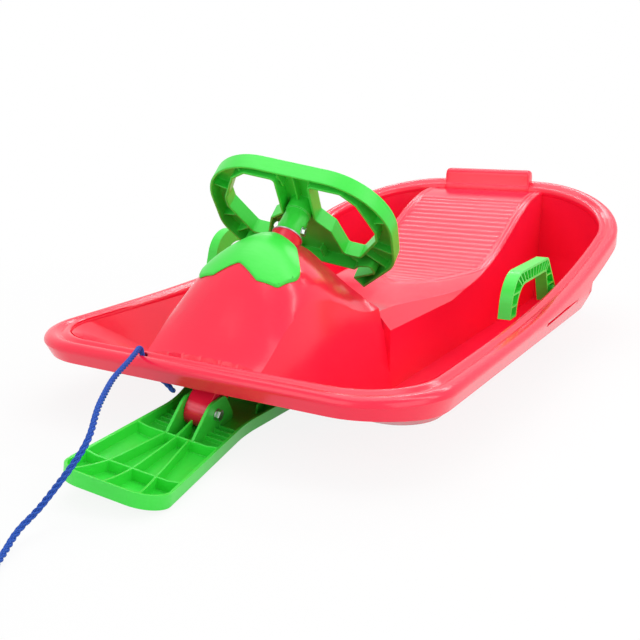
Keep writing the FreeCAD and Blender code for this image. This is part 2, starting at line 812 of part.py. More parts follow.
def steering_wheel():
    """Hollow ring on a tapered hub with a socket for the post."""
    body = doc.addObject("PartDesign::Body", "steering_wheel")
    hub = body.newObject("PartDesign::AdditiveCone", "hub")
    hub.setExpression("Radius1", "sizes.hub_base_dia / 2")
    hub.setExpression("Radius2", "sizes.hub_top_dia / 2")
    hub.setExpression("Height", "sizes.wheel_rise + sizes.wheel_depth")
    face = wheel_face()
    wire_step(body, "Pad", "ring", "XY_Plane", face.Wires, "sizes.wheel_depth", "sizes.wheel_rise")
    core = Part.Face(Part.Wire(Part.makeCircle(size("hub_base_dia") / 2)))
    hollow = face.makeOffset2D(-size("wheel_wall")).cut(core)
    wires = [wire for part in hollow.Faces for wire in part.Wires]
    wire_step(body, "Pocket", "hollow", "XY_Plane", wires, "sizes.wheel_depth - sizes.wheel_wall",
              "sizes.wheel_rise", reverse=True)
    rib_wires = [part.OuterWire for part in wheel_ribs(face).Faces]
    wire_step(body, "Pad", "ribs", "XY_Plane", rib_wires, "sizes.wheel_rib_depth",
              "sizes.wheel_rise + sizes.wheel_depth - sizes.wheel_rib_depth")
    round_step(body, "Pocket", "socket", "XY_Plane", "sizes.spigot_dia + 2 * sizes.spigot_gap",
               "sizes.spigot_length + sizes.washer_thick + sizes.face_gap", reverse=True)
    round_step(body, "Pocket", "bolt_hole", "YZ_Plane", "sizes.wheel_bolt_dia + 2 * sizes.bolt_gap",
               "2 * sizes.hub_base_dia", rise="sizes.wheel_bolt_up", symmetric=True)
    for side, reverse in (("1", True), ("-1", False)):
        round_step(body, "Pocket", "bolt_flat", "YZ_Plane", "sizes.wheel_washer_dia + sizes.washer_room",
                   "sizes.hub_base_dia", side + " * sizes.hub_flat", "sizes.wheel_bolt_up", reverse)
    keep(body, "steering_wheel", HUB_BASE, STEERED)


steering_wheel()


# Cross bolts along X with their nuts and washers
def hexagon(across):
    """Hexagon wire of one width across its flats."""
    corner = across / math.sqrt(3)
    turns = [math.pi / 3 * k for k in range(6)]
    return rounded([(corner * math.cos(turn), corner * math.sin(turn)) for turn in turns], [0] * 6)


def cross_bolt(name, seat, base, turn):
    """Bolt through a joint along X, with a washer under its head and under its nut."""
    diameter = f"sizes.{name}_bolt_dia"
    bore = f"{diameter} + 2 * sizes.bolt_gap"
    under_head = f"{seat} + sizes.bolt_washer_thick"
    bolt = doc.addObject("PartDesign::Body", f"{name}_bolt")
    across = hexagon(size(f"{name}_hex"))
    wire_step(bolt, "Pad", "head", "YZ_Plane", [across], f"sizes.{name}_head", under_head)
    round_step(bolt, "Pad", "shank", "YZ_Plane", diameter,
               f"2 * ({under_head}) + sizes.{name}_nut_height + sizes.bolt_end", under_head, reverse=True)
    keep(bolt, f"{name}_bolt", base, turn)
    nut = doc.addObject("PartDesign::Body", f"{name}_nut")
    wire_step(nut, "Pad", "nut", "YZ_Plane", [across], f"sizes.{name}_nut_height",
              f"-1 * ({under_head})", reverse=True)
    round_step(nut, "Pocket", "thread", "YZ_Plane", bore, f"4 * sizes.{name}_hex",
               f"-1 * ({under_head})", symmetric=True)
    keep(nut, f"{name}_nut", base, turn)


def bolt_washers(name, seat, base, turn):
    """The two washers of a cross bolt, seat being their distance from the middle."""
    thick = size("bolt_washer_thick")
    outer = size(f"{name}_washer_dia") / 2
    bore = size(f"{name}_bolt_dia") / 2 + size("bolt_gap")
    rings = []
    for side in (1, -1):
        start, along = Vector(side * seat, 0, 0), Vector(side, 0, 0)
        disc = Part.makeCylinder(outer, thick, start, along)
        rings.append(disc.cut(Part.makeCylinder(bore, thick, start, along)))
    feature(f"{name}_washers", Part.makeCompound(rings), base, turn)


CHEEK_INNER = size("slab_thick") / 2 + size("cheek_gap")
CHEEK_OUTER = CHEEK_INNER + size("cheek_thick")
WHEEL_BOLT_BASE = HUB_BASE + COLUMN_AXIS * size("wheel_bolt_up")

cross_bolt("wheel", "sizes.hub_flat", WHEEL_BOLT_BASE, STEERED)
bolt_washers("wheel", size("hub_flat"), WHEEL_BOLT_BASE, STEERED)
cross_bolt("ski", "sizes.slab_thick / 2 + sizes.cheek_gap + sizes.cheek_thick", COLUMN_BASE, STEER)
bolt_washers("ski", CHEEK_OUTER, COLUMN_BASE, STEER)


# Ski
SKI_TIP = FRONT - size("ski_reach")
SKI_TAIL = SKI_TIP + size("ski_length")


SKI_BASE = BOLT_Z - size("ski_drop")
SKI_TOP = SKI_BASE + size("ski_height")


def ski_prism(inset):
    """Upright prism of the ski's waisted outline from above, drawn in by inset."""
    side = [(size("ski_front_half") - inset, SKI_TIP + inset),
            (size("ski_waist_half") - inset, SKI_TIP + size("ski_waist_run")),
            (size("ski_rear_half") - inset, SKI_TAIL - inset)]
    bends = [size("ski_front_round") - inset, size("ski_waist_round"), size("ski_rear_round") - inset]
    outline = rounded(mirrored(side), bends + bends[::-1], -BELOW)
    return Part.Face(outline).extrude(Vector(0, 0, SKY))


def ski_under(rise):
    """Everything below the running face, raised by rise: turned up at the tip, the tail and the edges."""
    half = size("ski_rear_half") + BELOW
    tip_run, tail_run = size("ski_tip_run"), size("ski_tail_run")

    def place(y, z):
        return Vector(-half, y, SKI_BASE + z + rise)

    tip = Part.BezierCurve()
    tip.setPoles([place(SKI_TIP, size("ski_tip_rise")), place(SKI_TIP + tip_run / 2, 0),
                  place(SKI_TIP + tip_run, 0)])
    tail = Part.BezierCurve()
    tail.setPoles([place(SKI_TAIL - tail_run, 0), place(SKI_TAIL - tail_run / 2, 0),
                   place(SKI_TAIL, size("ski_tail_rise"))])
    middle = Part.LineSegment(place(SKI_TIP + tip_run, 0), place(SKI_TAIL - tail_run, 0))
    under = below_path([tip.toShape(), middle.toShape(), tail.toShape()], half)
    edge = size("ski_edge_half")
    lift = size("ski_edge_slope") * (half - edge)
    level = SKI_BASE + rise
    for side in (1, -1):
        corners = [Vector(side * edge, SKI_TIP, level), Vector(side * half, SKI_TIP, level + lift),
                   Vector(side * half, SKI_TIP, -BELOW), Vector(side * edge, SKI_TIP, -BELOW)]
        wedge = Part.Face(Part.makePolygon(corners + corners[:1]))
        under = under.fuse(wedge.extrude(Vector(0, size("ski_length"), 0)))
    return under


def wall_strip(start, end, high=SKY):
    """Upright plate of a rib's thickness between two points seen from above."""
    plate = strip(start, end, size("ski_rib")).extrude(Vector(0, 0, high + BELOW))
    plate.translate(Vector(0, 0, -BELOW))
    return plate


def ski_ribs():
    """Ribs in the tray: two cross ribs, a fan of three, low slats and a grid at the tail."""
    wide = size("ski_rear_half")
    front_y = SKI_TIP + size("rib_front_run")
    middle_y = SKI_TIP + size("rib_middle_run")
    ribs = [wall_strip((-wide, y), (wide, y)) for y in (front_y, middle_y)]
    for side in (-1, 0, 1):
        route = [(side * size("fan_start"), middle_y), (side * size("fan_middle"), front_y),
                 (side * size("fan_front"), SKI_TIP)]
        ribs += [wall_strip(start, end) for start, end in zip(route, route[1:])]
    for k in range(int(size("slat_count"))):
        y = middle_y + size("grid_back") + size("slat_pitch") * k
        for side in (1, -1):
            ribs.append(wall_strip((side * CHEEK_INNER, y), (side * wide, y), SKI_BASE + size("slat_height")))
    grid_y = SKI_TAIL - size("grid_back")
    ribs.append(wall_strip((-wide, grid_y), (wide, grid_y)))
    for side in (1, -1):
        x = side * size("grid_pitch")
        ribs.append(wall_strip((x, grid_y - size("grid_back")), (x, SKI_TAIL)))
    return ribs


def cheek(side):
    """Upright ear beside the post, with the bolt's hole."""
    front, rear = BOLT_Y - size("cheek_front"), BOLT_Y + size("cheek_rear")
    crown = size("cheek_crown")
    low = SKI_BASE + size("ski_wall") / 2
    edge = SKI_TOP - size("ski_wall")
    points = [(front, low), (front, edge), (BOLT_Y - crown, BOLT_Z + crown), (BOLT_Y + crown, BOLT_Z + crown),
              (rear, edge), (rear, low)]
    x0, x1 = sorted((side * CHEEK_INNER, side * CHEEK_OUTER))
    return upright(points, [0, crown / 2, crown, crown, crown / 2, 0], x0, x1)


def centre_fin():
    """Rising end of the middle rib, ahead of the post."""
    front, end = SKI_TIP + size("rib_middle_run"), BOLT_Y - size("fin_end")
    low = SKI_BASE + size("ski_wall") / 2
    points = [(front, low), (front, SKI_TOP), (end, BOLT_Z - size("ski_wall")), (end, low)]
    return upright(points, [0] * len(points), -size("ski_rib") / 2, size("ski_rib") / 2)


def ski():
    """Ribbed tray with a turned-up tip."""
    under = ski_under(0)
    envelope = ski_prism(0).common(ski_under(size("ski_height"))).cut(under)
    cavity = ski_prism(size("ski_wall")).cut(ski_under(size("ski_wall")))
    ribs = ski_ribs()
    frame = ribs[0].fuse(ribs[1:]).common(envelope)
    well = box(-CHEEK_INNER, CHEEK_INNER, BOLT_Y - size("fin_end"), BOLT_Y + size("cheek_rear"), -BELOW, SKY)
    frame = frame.cut(well.cut(ski_under(size("ski_wall"))))
    tray = envelope.cut(cavity).fuse([frame, cheek(1), cheek(-1), centre_fin()])
    hole = Part.makeCylinder(size("ski_bolt_dia") / 2 + size("bolt_gap"), 2 * SKY,
                             Vector(-SKY, BOLT_Y, BOLT_Z), Vector(1, 0, 0))
    return tray.cut(hole).removeSplitter()


feature("ski", ski(), COLUMN_BASE - STEER.multVec(COLUMN_BASE), STEER)


# Brakes
HANDLE_OUTER = size("handle_x") + size("handle_thick")
# The right brake stands a little pulled; the left one is down.
BRAKE_LIFT = {1: Rotation(), -1: Rotation(Vector(-1, 0, 0), size("brake_lift"))}


def handle_face():
    """Side view of the handle about its pivot: an arch with a short front leg and a slanted rear leg."""
    reach, rise = size("handle_reach"), size("handle_rise")
    lean, leg, bar = size("handle_lean"), size("handle_leg"), size("handle_bar")
    boss = size("handle_boss") / 2
    bend = size("handle_round")
    foot_end = size("handle_foot_end")
    outer = [(-reach, 0), (lean - reach, rise), (-size("handle_top_end"), rise),
             (foot_end, 0), (foot_end - lean, -boss), (-size("handle_heel"), -boss)]
    face = Part.Face(rounded(outer, [0, bend, lean, lean, boss / 2, 0]))
    arch = rise - bar
    inner = [(leg - reach, -bar), (leg + lean - reach, arch), (-size("handle_top_end") - lean, arch),
             (-size("handle_heel"), -bar)]
    cut_end = flat([(-reach - bar, 0), (-size("handle_heel") - leg, 0), (-size("handle_heel") - leg, -bar),
                    (-reach - bar, -bar)])
    arch_cut = Part.Face(rounded(inner, [0, bend - lean, lean / 2, 0]))
    return face.cut([arch_cut, cut_end]).Faces[0]


def handle_recess(face):
    """Sunk field of the handle's outer side, crossed by ribs."""
    wall, rib, pitch = size("handle_wall"), size("handle_rib"), size("handle_rib_pitch")
    reach, rise = size("handle_reach"), size("handle_rise")
    middle = (-reach / 2, 0)
    strips = []
    count = int(reach / pitch)
    for k in range(1, count):
        y = -reach + pitch * k
        strips.append(strip(middle, (middle[0] + (y - middle[0]) * 2, 2 * rise), rib))
    for k in (1, 2):
        strips.append(strip((-2 * reach, pitch * k), (0, pitch * k), rib))
    field = face.makeOffset2D(-wall)
    boss = Part.Face(Part.Wire(Part.makeCircle(size("handle_boss") / 2)))
    return field.cut([boss] + strips)


def brake_handle(label, side):
    """Handle with a ribbed recess and a square socket for the axle."""
    body = doc.addObject("PartDesign::Body", label)
    face = handle_face()
    outward = side < 0
    outer_face = f"{side} * sizes.handle_thick"
    wire_step(body, "Pad", "arch", "YZ_Plane", face.Wires, "sizes.handle_thick", reverse=outward)
    wires = [wire for part in handle_recess(face).Faces for wire in part.Wires]
    wire_step(body, "Pocket", "recess", "YZ_Plane", wires, "sizes.handle_recess", outer_face, reverse=outward)
    half = size("axle_square") / 2 + size("bolt_gap")
    square = rounded([(-half, -half), (half, -half), (half, half), (-half, half)], [0] * 4)
    wire_step(body, "Pocket", "socket", "YZ_Plane", [square], "sizes.axle_square_length", outer_face,
              reverse=outward)
    round_step(body, "Pocket", "screw_hole", "YZ_Plane", "sizes.brake_screw_dia + 2 * sizes.bolt_gap",
               "4 * sizes.handle_thick", symmetric=True)
    keep(body, label, Vector(side * size("handle_x"), BRAKE_Y, BRAKE_Z), BRAKE_LIFT[side])


def brake_claw(label, side):
    """Claw outside the inner wall, in one piece with its axle."""
    body = doc.addObject("PartDesign::Body", label)
    inward = side > 0
    hub, reach, tooth = size("claw_hub") / 2, size("claw_reach"), size("claw_tooth")
    points = [(0, hub), (reach - tooth, 0), (reach, -hub), (reach, -hub - tooth), (reach - hub, -hub - tooth),
              (reach - 2 * tooth, -hub), (0, -hub)]
    wire_step(body, "Pad", "arm", "YZ_Plane", [rounded(points, [0] * len(points))], "sizes.claw_thick",
              reverse=not inward)
    round_step(body, "Pad", "hub", "YZ_Plane", "sizes.claw_hub", "sizes.claw_thick", reverse=not inward)
    length = "sizes.claw_x - sizes.handle_x - sizes.handle_thick"
    round_step(body, "Pad", "axle", "YZ_Plane", "sizes.axle_dia", length, reverse=inward)
    half = size("axle_square") / 2
    square = rounded([(-half, -half), (half, -half), (half, half), (-half, half)], [0] * 4)
    wire_step(body, "Pad", "square_end", "YZ_Plane", [square], "sizes.axle_square_length - sizes.face_gap",
              f"{-side} * ({length})", reverse=inward)
    round_step(body, "Pocket", "screw_hole", "YZ_Plane", "sizes.brake_screw_dia + 2 * sizes.bolt_gap",
               "sizes.brake_screw_length", f"{-side} * ({length} + sizes.axle_square_length)", reverse=inward)
    keep(body, label, Vector(side * size("claw_x"), BRAKE_Y, BRAKE_Z), BRAKE_LIFT[side])


def brake_screw(label, side):
    """Screw that holds the handle on the axle, its head inside the tub."""
    body = doc.addObject("PartDesign::Body", label)
    inward = side > 0
    round_step(body, "Pad", "head", "YZ_Plane", "sizes.brake_screw_head", "sizes.brake_screw_head_height",
               reverse=inward)
    round_step(body, "Pad", "shank", "YZ_Plane", "sizes.brake_screw_dia", "sizes.brake_screw_length",
               reverse=not inward)
    keep(body, label, Vector(side * size("handle_x"), BRAKE_Y, BRAKE_Z), BRAKE_LIFT[side])


for side_name, side_sign in (("left", 1), ("right", -1)):
    brake_handle(f"brake_handle_{side_name}", side_sign)
    brake_claw(f"brake_claw_{side_name}", side_sign)
    brake_screw(f"brake_screw_{side_name}", side_sign)


# Tow rope
ROPE_RADIUS = size("rope_dia") / 2
FLOOR_Z = ROPE_RADIUS + 0.2
BEND_SHARE = 0.45


def cord_wire(points, label):
    """Straight runs joined by tangent arcs, each as large as its two runs allow."""
    edges, radii = [], []
    last = points[0]
    for back, corner, ahead in zip(points, points[1:], points[2:]):
        into = (corner - back).normalize()
        out = (ahead - corner).normalize()
        half = into.getAngle(out) / 2
        reach = BEND_SHARE * min(corner.distanceToPoint(back), corner.distanceToPoint(ahead))
        radius = reach / math.tan(half)
        inward = (out - into).normalize()
        start, end = corner - into * reach, corner + out * reach
        middle = corner + inward * (radius / math.cos(half) - radius)
        edges += [Part.LineSegment(last, start).toShape(), Part.Arc(start, middle, end).toShape()]
        radii.append(radius)
        last = end
    edges.append(Part.LineSegment(last, points[-1]).toShape())
    print(label, "bend radii", [round(radius, 1) for radius in radii])
    return Part.Wire(edges)


def tube(path, label):
    """Round tube along a path, its volume compared with its section times its length."""
    start = path.OrderedEdges[0]
    along = start.tangentAt(start.FirstParameter)
    section = Part.Wire(Part.makeCircle(ROPE_RADIUS, start.valueAt(start.FirstParameter), along))
    solid = path.makePipeShell([section], True, False)
    share = solid.Volume / (math.pi * ROPE_RADIUS ** 2 * path.Length)
    print(label, "length", round(path.Length), "volume share", round(share, 4))
    return solid


KNOT_PLUG = Vector(ROPE_HOLE.x, ROPE_HOLE.y, ROPE_HOLE.z - size("knot_drop"))
KNOT_FOOT = KNOT_PLUG - Vector(0, 0, size("knot_foot"))
KNOT_SIDE = KNOT_FOOT + Vector(0, 0, ROPE_RADIUS)
TAIL_RUN = Vector(9, 0, -2)
TAIL_START = KNOT_SIDE + Vector(TAIL_RUN).normalize() * size("knot_reach")


def rope_knot():
    """Overhand knot pulled up under the front rim: two turns about the rope, its tail led out sideways."""
    tube_radius = size("knot_tube") / 2
    top_turn = ROPE_HOLE.z - WALL - size("knot_gap") - tube_radius
    turns = []
    for level in (top_turn, top_turn - size("knot_tube") + size("knot_overlap")):
        turns.append(Part.makeTorus(size("knot_ring"), tube_radius, Vector(ROPE_HOLE.x, ROPE_HOLE.y, level)))
    collar = Part.makeCylinder(size("knot_ring"), size("knot_foot"), KNOT_FOOT)
    stub = Part.makeCylinder(ROPE_RADIUS, size("knot_reach"), KNOT_SIDE, TAIL_RUN)
    return collar.fuse(turns + [stub]).removeSplitter()


def coil_path():
    """Spiral in on the lower layer, half a turn up, and spiral out on the upper one."""
    pitch = size("rope_dia") + size("coil_gap")
    low = FLOOR_Z + size("coil_lift")
    centre = Vector(size("coil_x"), FRONT - size("coil_ahead"), low)
    turns_in = 4
    radii = [size("coil_radius") - pitch / 2 * k for k in range(turns_in + 1)]
    radii += list(reversed(radii))
    levels = [0.0] * (turns_in + 1) + [pitch] * (turns_in + 1)
    stops = []
    for k, (radius, level) in enumerate(zip(radii, levels)):
        side = 1 if k % 2 == 0 else -1
        stops.append((centre + Vector(side * radius, 0, level), Vector(0, -side, 0)))
    edges = [Part.LineSegment(stops[0][0] - stops[0][1] * size("rope_dia"), stops[0][0]).toShape()]
    for (here, heading), (there, arriving) in zip(stops, stops[1:]):
        reach = here.distanceToPoint(there) / 2
        apex = (here + there) / 2 + (heading - arriving) * (reach / 2)
        edges += quarter_arcs(here, heading, apex, there, arriving)
    last, heading = stops[-1]
    edges.append(Part.LineSegment(last, last + heading * size("rope_dia")).toShape())
    return Part.Wire(edges)


def quarter_arcs(here, heading, apex, there, arriving):
    """Two arcs through an apex, tangent to the headings at both ends."""
    arcs = []
    for start, along, end in ((here, heading, apex), (there, arriving * -1, apex)):
        chord = end - start
        half = along.getAngle(chord)
        side = (chord * (1 / chord.Length) - along * math.cos(half)).normalize()
        radius = chord.Length / 2 / math.sin(half)
        middle = start + along * (radius * math.sin(half)) + side * (radius * (1 - math.cos(half)))
        arcs.append((start, middle, end))
    (first, middle, apex_point), (last, other, _) = arcs
    return [Part.Arc(first, middle, apex_point).toShape(), Part.Arc(apex_point, other, last).toShape()]


def coil_gap(path):
    """Least gap between one stretch of the coil and another, measured on points."""
    step = ROPE_RADIUS / 2
    points = path.discretize(Distance=step)
    apart = int(4 * size("rope_dia") / step)
    least = min(points[i].distanceToPoint(points[k])
                for i in range(len(points)) for k in range(i + apart, len(points)))
    return least - size("rope_dia")


def rope_tie(path):
    """Strap round the coil's bundle, ahead of it."""
    bounds = path.BoundBox
    pitch = size("rope_dia") + size("coil_gap")
    gap, thick, half = size("tie_gap"), size("tie_thick"), size("tie_width") / 2
    near = -size("coil_radius") + 2 * pitch + ROPE_RADIUS + gap
    far = -size("coil_radius") - ROPE_RADIUS - gap
    low = bounds.ZMin - ROPE_RADIUS - gap
    high = bounds.ZMax + ROPE_RADIUS + gap
    strap = box(-half, half, far - thick, near + thick, low - thick, high + thick)
    return strap.cut(box(-half, half, far, near, low, high))


COIL = coil_path()
COIL_START = COIL.OrderedVertexes[0].Point
ROPE_POINTS = [
    KNOT_PLUG,
    Vector(ROPE_HOLE.x, ROPE_HOLE.y, 80),
    Vector(-57, -401, 87),
    Vector(-48, -415, 87),
    Vector(-37, -438, 85),
    Vector(-23, -471, 82),
    Vector(-8, -495, 80),
    Vector(10, -523, 77),
    Vector(28, -549, 66),
    Vector(27, -564, 52),
    Vector(16, -578, 31),
    Vector(8, -587, 17),
    Vector(5, -603, 8.5),
    Vector(18, -627, FLOOR_Z),
    Vector(32, -652, FLOOR_Z),
    Vector(52, -674, FLOOR_Z + 0.3),
    Vector(74, -690, FLOOR_Z + 0.9),
    Vector(COIL_START.x, COIL_START.y + 14, COIL_START.z),
    COIL_START,
]
TAIL_POINTS = [
    TAIL_START,
    TAIL_START + TAIL_RUN,
    TAIL_START + Vector(17, 0.7, -6.5),
    TAIL_START + Vector(25, 1.5, -14),
]

feature("rope_knot", rope_knot())
feature("rope_stretch", tube(cord_wire(ROPE_POINTS, "rope_stretch"), "rope_stretch"))
feature("rope_tail", tube(cord_wire(TAIL_POINTS, "rope_tail"), "rope_tail"))
feature("rope_coil", tube(COIL, "rope_coil"))
print("rope_coil least gap", round(coil_gap(COIL), 2))
feature("rope_tie", rope_tie(COIL), Vector(size("coil_x"), FRONT - size("coil_ahead"), 0))

# The frame's origin lies on the ground under the middle of the sled, the rope left aside
doc.recompute()
ski_node = next(node for node in nodes if node.Label == "ski")
middle = (ski_node.Shape.optimalBoundingBox().YMin + HALF_LENGTH) / 2
shift = Placement(Vector(0, -middle, 0), Rotation())
for node in nodes:
    node.Placement = shift.multiply(node.Placement)
print("frame shift", round(-middle, 3))

# Every object is sound before anything is written
doc.recompute()
for item in doc.Objects:
    assert "Invalid" not in item.State and "Error" not in item.State, item.Label
for node in nodes:
    assert not node.Shape.isNull() and node.Shape.isValid(), node.Label
    print(node.Label, len(node.Shape.Solids), round(node.Shape.Volume))
os.makedirs("parts", exist_ok=True)
for node in nodes:
    node.Shape.exportStep(f"parts/{node.Label}.step")
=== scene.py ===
import math

import bmesh
import bpy
import numpy as np
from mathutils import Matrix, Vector
from mathutils.bvhtree import BVHTree


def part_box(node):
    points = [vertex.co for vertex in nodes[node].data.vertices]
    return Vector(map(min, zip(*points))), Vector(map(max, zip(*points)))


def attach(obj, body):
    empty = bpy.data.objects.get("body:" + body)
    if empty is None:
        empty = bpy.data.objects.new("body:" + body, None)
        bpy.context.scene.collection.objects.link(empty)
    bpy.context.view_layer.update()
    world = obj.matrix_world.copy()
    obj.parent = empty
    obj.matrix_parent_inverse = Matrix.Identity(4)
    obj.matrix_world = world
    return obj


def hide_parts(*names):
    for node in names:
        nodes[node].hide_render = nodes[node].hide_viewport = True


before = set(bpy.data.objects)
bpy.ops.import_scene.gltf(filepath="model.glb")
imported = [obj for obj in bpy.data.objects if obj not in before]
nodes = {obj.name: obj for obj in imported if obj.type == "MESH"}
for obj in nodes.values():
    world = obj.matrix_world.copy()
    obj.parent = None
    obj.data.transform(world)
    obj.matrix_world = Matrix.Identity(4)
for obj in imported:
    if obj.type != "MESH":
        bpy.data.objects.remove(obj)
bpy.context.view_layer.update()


# Studio: a white table under a broad overhead panel, with a panel to each side and two bright
# strips. The camera stands ahead of the sled's left bow, a little above the rim.
AZIMUTH, ELEVATION = math.radians(30.43), math.radians(14.18)
EYE = (0.46512, -0.88864, 0.30075)
LENS, SENSOR = 46.31, 36
AMBIENT = 0.5
WHITE, TABLE_GREY = (1, 1, 1, 1), (0.8, 0.8, 0.8, 1)
FLOOR_SIZE, FLOOR_DROP = 12, 0.0003
FLOOR_GLOW, SHADOW_REACH = 0.88, 1.1
PANELS = {  # place, what it faces, width and height, power
    "overhead_panel": ((-0.25, 0.15, 1.9), (0, 0, 0), (1.7, 1.7), 16),
    "left_panel": ((1.7, -0.7, 0.8), (0, 0, 0.1), (1.5, 1.5), 11),
    "bow_panel": ((-0.5, -2.0, 1.0), (0, 0, 0.1), (1.5, 1.5), 11),
    "stern_strip": ((0, 1.5, 1.5), (0, 0, 0.1), (2.2, 0.14), 11),
    "left_strip": ((1.2, 0.3, 1.5), (0, 0, 0.1), (0.14, 1.8), 7),
}


class Signal:
    """One socket of a finish; sums and products of sockets add their Math nodes."""

    def __init__(self, shading, socket):
        self.shading, self.socket = shading, socket

    def maths(self, operation, *terms):
        return self.shading.node("ShaderNodeMath", {"operation": operation}, dict(enumerate(terms)))

    def __add__(self, other):
        return self.maths("ADD", self, other)

    def __sub__(self, other):
        return self.maths("SUBTRACT", self, other)

    def __rsub__(self, other):
        return self.maths("SUBTRACT", other, self)

    def __mul__(self, other):
        return self.maths("MULTIPLY", self, other)

    def __gt__(self, other):
        return self.maths("GREATER_THAN", self, other)

    __radd__ = __add__
    __rmul__ = __mul__


class Shading:
    """The nodes of one finish or of the surroundings."""

    def __init__(self, owner):
        owner.use_nodes = True
        self.tree = owner.node_tree
        self.tree.nodes.clear()

    def node(self, kind, settings, inputs, out=0):
        made = self.tree.nodes.new(kind)
        for name, value in settings.items():
            setattr(made, name, value)
        for name, value in inputs.items():
            if isinstance(value, Signal):
                self.tree.links.new(value.socket, made.inputs[name])
            else:
                made.inputs[name].default_value = value
        return Signal(self, made.outputs[out]) if made.outputs else None

    def place(self, kind="Object"):
        return self.node("ShaderNodeTexCoord", {}, {}, kind)

    def mix(self, share, first, second):
        return self.node("ShaderNodeMix", {"data_type": "RGBA"}, {0: share, 6: first, 7: second}, 2)

    def noise(self, where, scale, detail):
        return self.node("ShaderNodeTexNoise", {},
                         {"Vector": where, "Scale": scale, "Detail": detail})

    def stretch(self, where, factors):
        return self.node("ShaderNodeVectorMath", {"operation": "MULTIPLY"}, {0: where, 1: factors})

    def bump(self, height, strength, distance):
        return self.node("ShaderNodeBump", {}, {"Height": height, "Strength": strength,
                                                "Distance": distance})

    def surface(self, sockets):
        shader = self.node("ShaderNodeBsdfPrincipled", {}, sockets)
        self.node("ShaderNodeOutputMaterial", {}, {"Surface": shader})

    def seen_directly(self):
        """One where the camera, a reflection or a clear piece looks at this."""
        straight, glossy, clear = [
            self.node("ShaderNodeLightPath", {}, {}, ray)
            for ray in ("Is Camera Ray", "Is Glossy Ray", "Is Transmission Ray")]
        return straight.maths("MAXIMUM", straight.maths("MAXIMUM", straight, glossy), clear)


scene = bpy.context.scene
scene.view_settings.view_transform = "Standard"

lens = bpy.data.cameras.new("camera")
lens.lens, lens.sensor_width, lens.sensor_fit = LENS, SENSOR, "HORIZONTAL"
camera = bpy.data.objects.new("camera", lens)
looking_back = Vector((math.sin(AZIMUTH) * math.cos(ELEVATION),
                       -math.cos(AZIMUTH) * math.cos(ELEVATION), math.sin(ELEVATION)))
camera.location = EYE
camera.rotation_euler = looking_back.to_track_quat("Z", "Y").to_euler()
scene.collection.objects.link(camera)
scene.camera = camera

for name, (place, target, (wide, high), power) in PANELS.items():
    lamp = bpy.data.lights.new(name, "AREA")
    lamp.shape, lamp.size, lamp.size_y, lamp.energy = "RECTANGLE", wide, high, power
    panel = bpy.data.objects.new(name, lamp)
    panel.location = place
    panel.rotation_euler = (Vector(place) - Vector(target)).to_track_quat("Z", "Y").to_euler()
    scene.collection.objects.link(panel)

scene.world = bpy.data.worlds.new("studio_air")
air = Shading(scene.world)
light = air.node("ShaderNodeBackground", {}, {
    "Color": WHITE, "Strength": air.seen_directly() * (1 - AMBIENT) + AMBIENT})
air.node("ShaderNodeOutputWorld", {}, {"Surface": light})

# The table glows white where it is seen, and less so near the sled, where its shadow shows
table = bpy.data.materials.new("white_table")
cloth = Shading(table)
matt = cloth.node("ShaderNodeBsdfDiffuse", {}, {"Color": TABLE_GREY})
glow = cloth.node("ShaderNodeEmission", {}, {"Color": WHITE, "Strength": 1.0})
away = cloth.node("ShaderNodeVectorMath", {"operation": "LENGTH"}, {0: cloth.place()}, "Value")
fade = cloth.node("ShaderNodeMapRange", {"interpolation_type": "SMOOTHSTEP"}, {
    "Value": away, "From Min": SHADOW_REACH / 3, "From Max": SHADOW_REACH,
    "To Min": FLOOR_GLOW, "To Max": 1.0})
lit = cloth.node("ShaderNodeMixShader", {}, {0: cloth.seen_directly() * fade, 1: matt, 2: glow})
cloth.node("ShaderNodeOutputMaterial", {}, {"Surface": lit})
floor_half = FLOOR_SIZE / 2
sheet = bpy.data.meshes.new("floor")
sheet.from_pydata([(x * floor_half, y * floor_half, -FLOOR_DROP)
                   for x, y in ((-1, -1), (1, -1), (1, 1), (-1, 1))], [], [(0, 1, 2, 3)])
sheet.materials.append(table)
floor = bpy.data.objects.new("floor", sheet)
scene.collection.objects.link(floor)


# Tow rope: thin blue three-strand laid cord, knotted below the front rim and led out through a
# hole in it. What the picture doesn't show lies ahead of the sled as a tied coil.
MM_PER_M = 1000
ORIGIN_SHIFT = 66.954
ROPE_DIA, ROPE_LAY, STRANDS, STRAND, STRAND_SIDES = 5.4, 17.0, 3, 1.34, 10
ROPE_STEP, ROPE_SMOOTH, FIRST_SIDE = 1.4, 12, (0.3, 0.5, 1)
END_TAPER, END_LEAST = 3.0, 0.02
ROPE_ROUTE = [
    (-61, -393.5, 65.5), (-61, -393.5, 80), (-57, -401, 87), (-48, -415, 87), (-37, -438, 85),
    (-23, -471, 82), (-8, -495, 80), (10, -523, 77), (28, -549, 66), (27, -564, 52),
    (16, -578, 31), (8, -587, 17), (5, -603, 8.5), (18, -627, 3.7), (32, -652, 3.7),
    (52, -674, 4.0), (74, -690, 4.6), (86, -707, 5.9), (86, -721, 5.9),
]
COIL_X, COIL_Y, COIL_LOW, COIL_PITCH = 40, -728, 5.9, 8.8
COIL_RADII = [46, 41.6, 37.2, 32.8, 28.4, 28.4, 32.8, 37.2, 41.6, 46]
COIL_CLIMB, COIL_POINTS, COIL_SPREAD = 4, 8, 1.012
# The darker rope blue is painted shade for the grooves between the yarns
ROPE_BLUE, ROPE_PAINTED_SHADE = (0.025, 0.11, 0.55, 1), (0.008, 0.02, 0.15, 1)
ROPE_PALE = (0.1, 0.28, 0.8, 1)
YARNS, YARN_SLANT, YARN_PAINTED_SHADE = 9, 5, 0.8
FIBRES, STRAY_FIBRE, STRAY_SHARE, FIBRE_HEIGHT = (1400, 2), 0.62, 0.35, 0.5
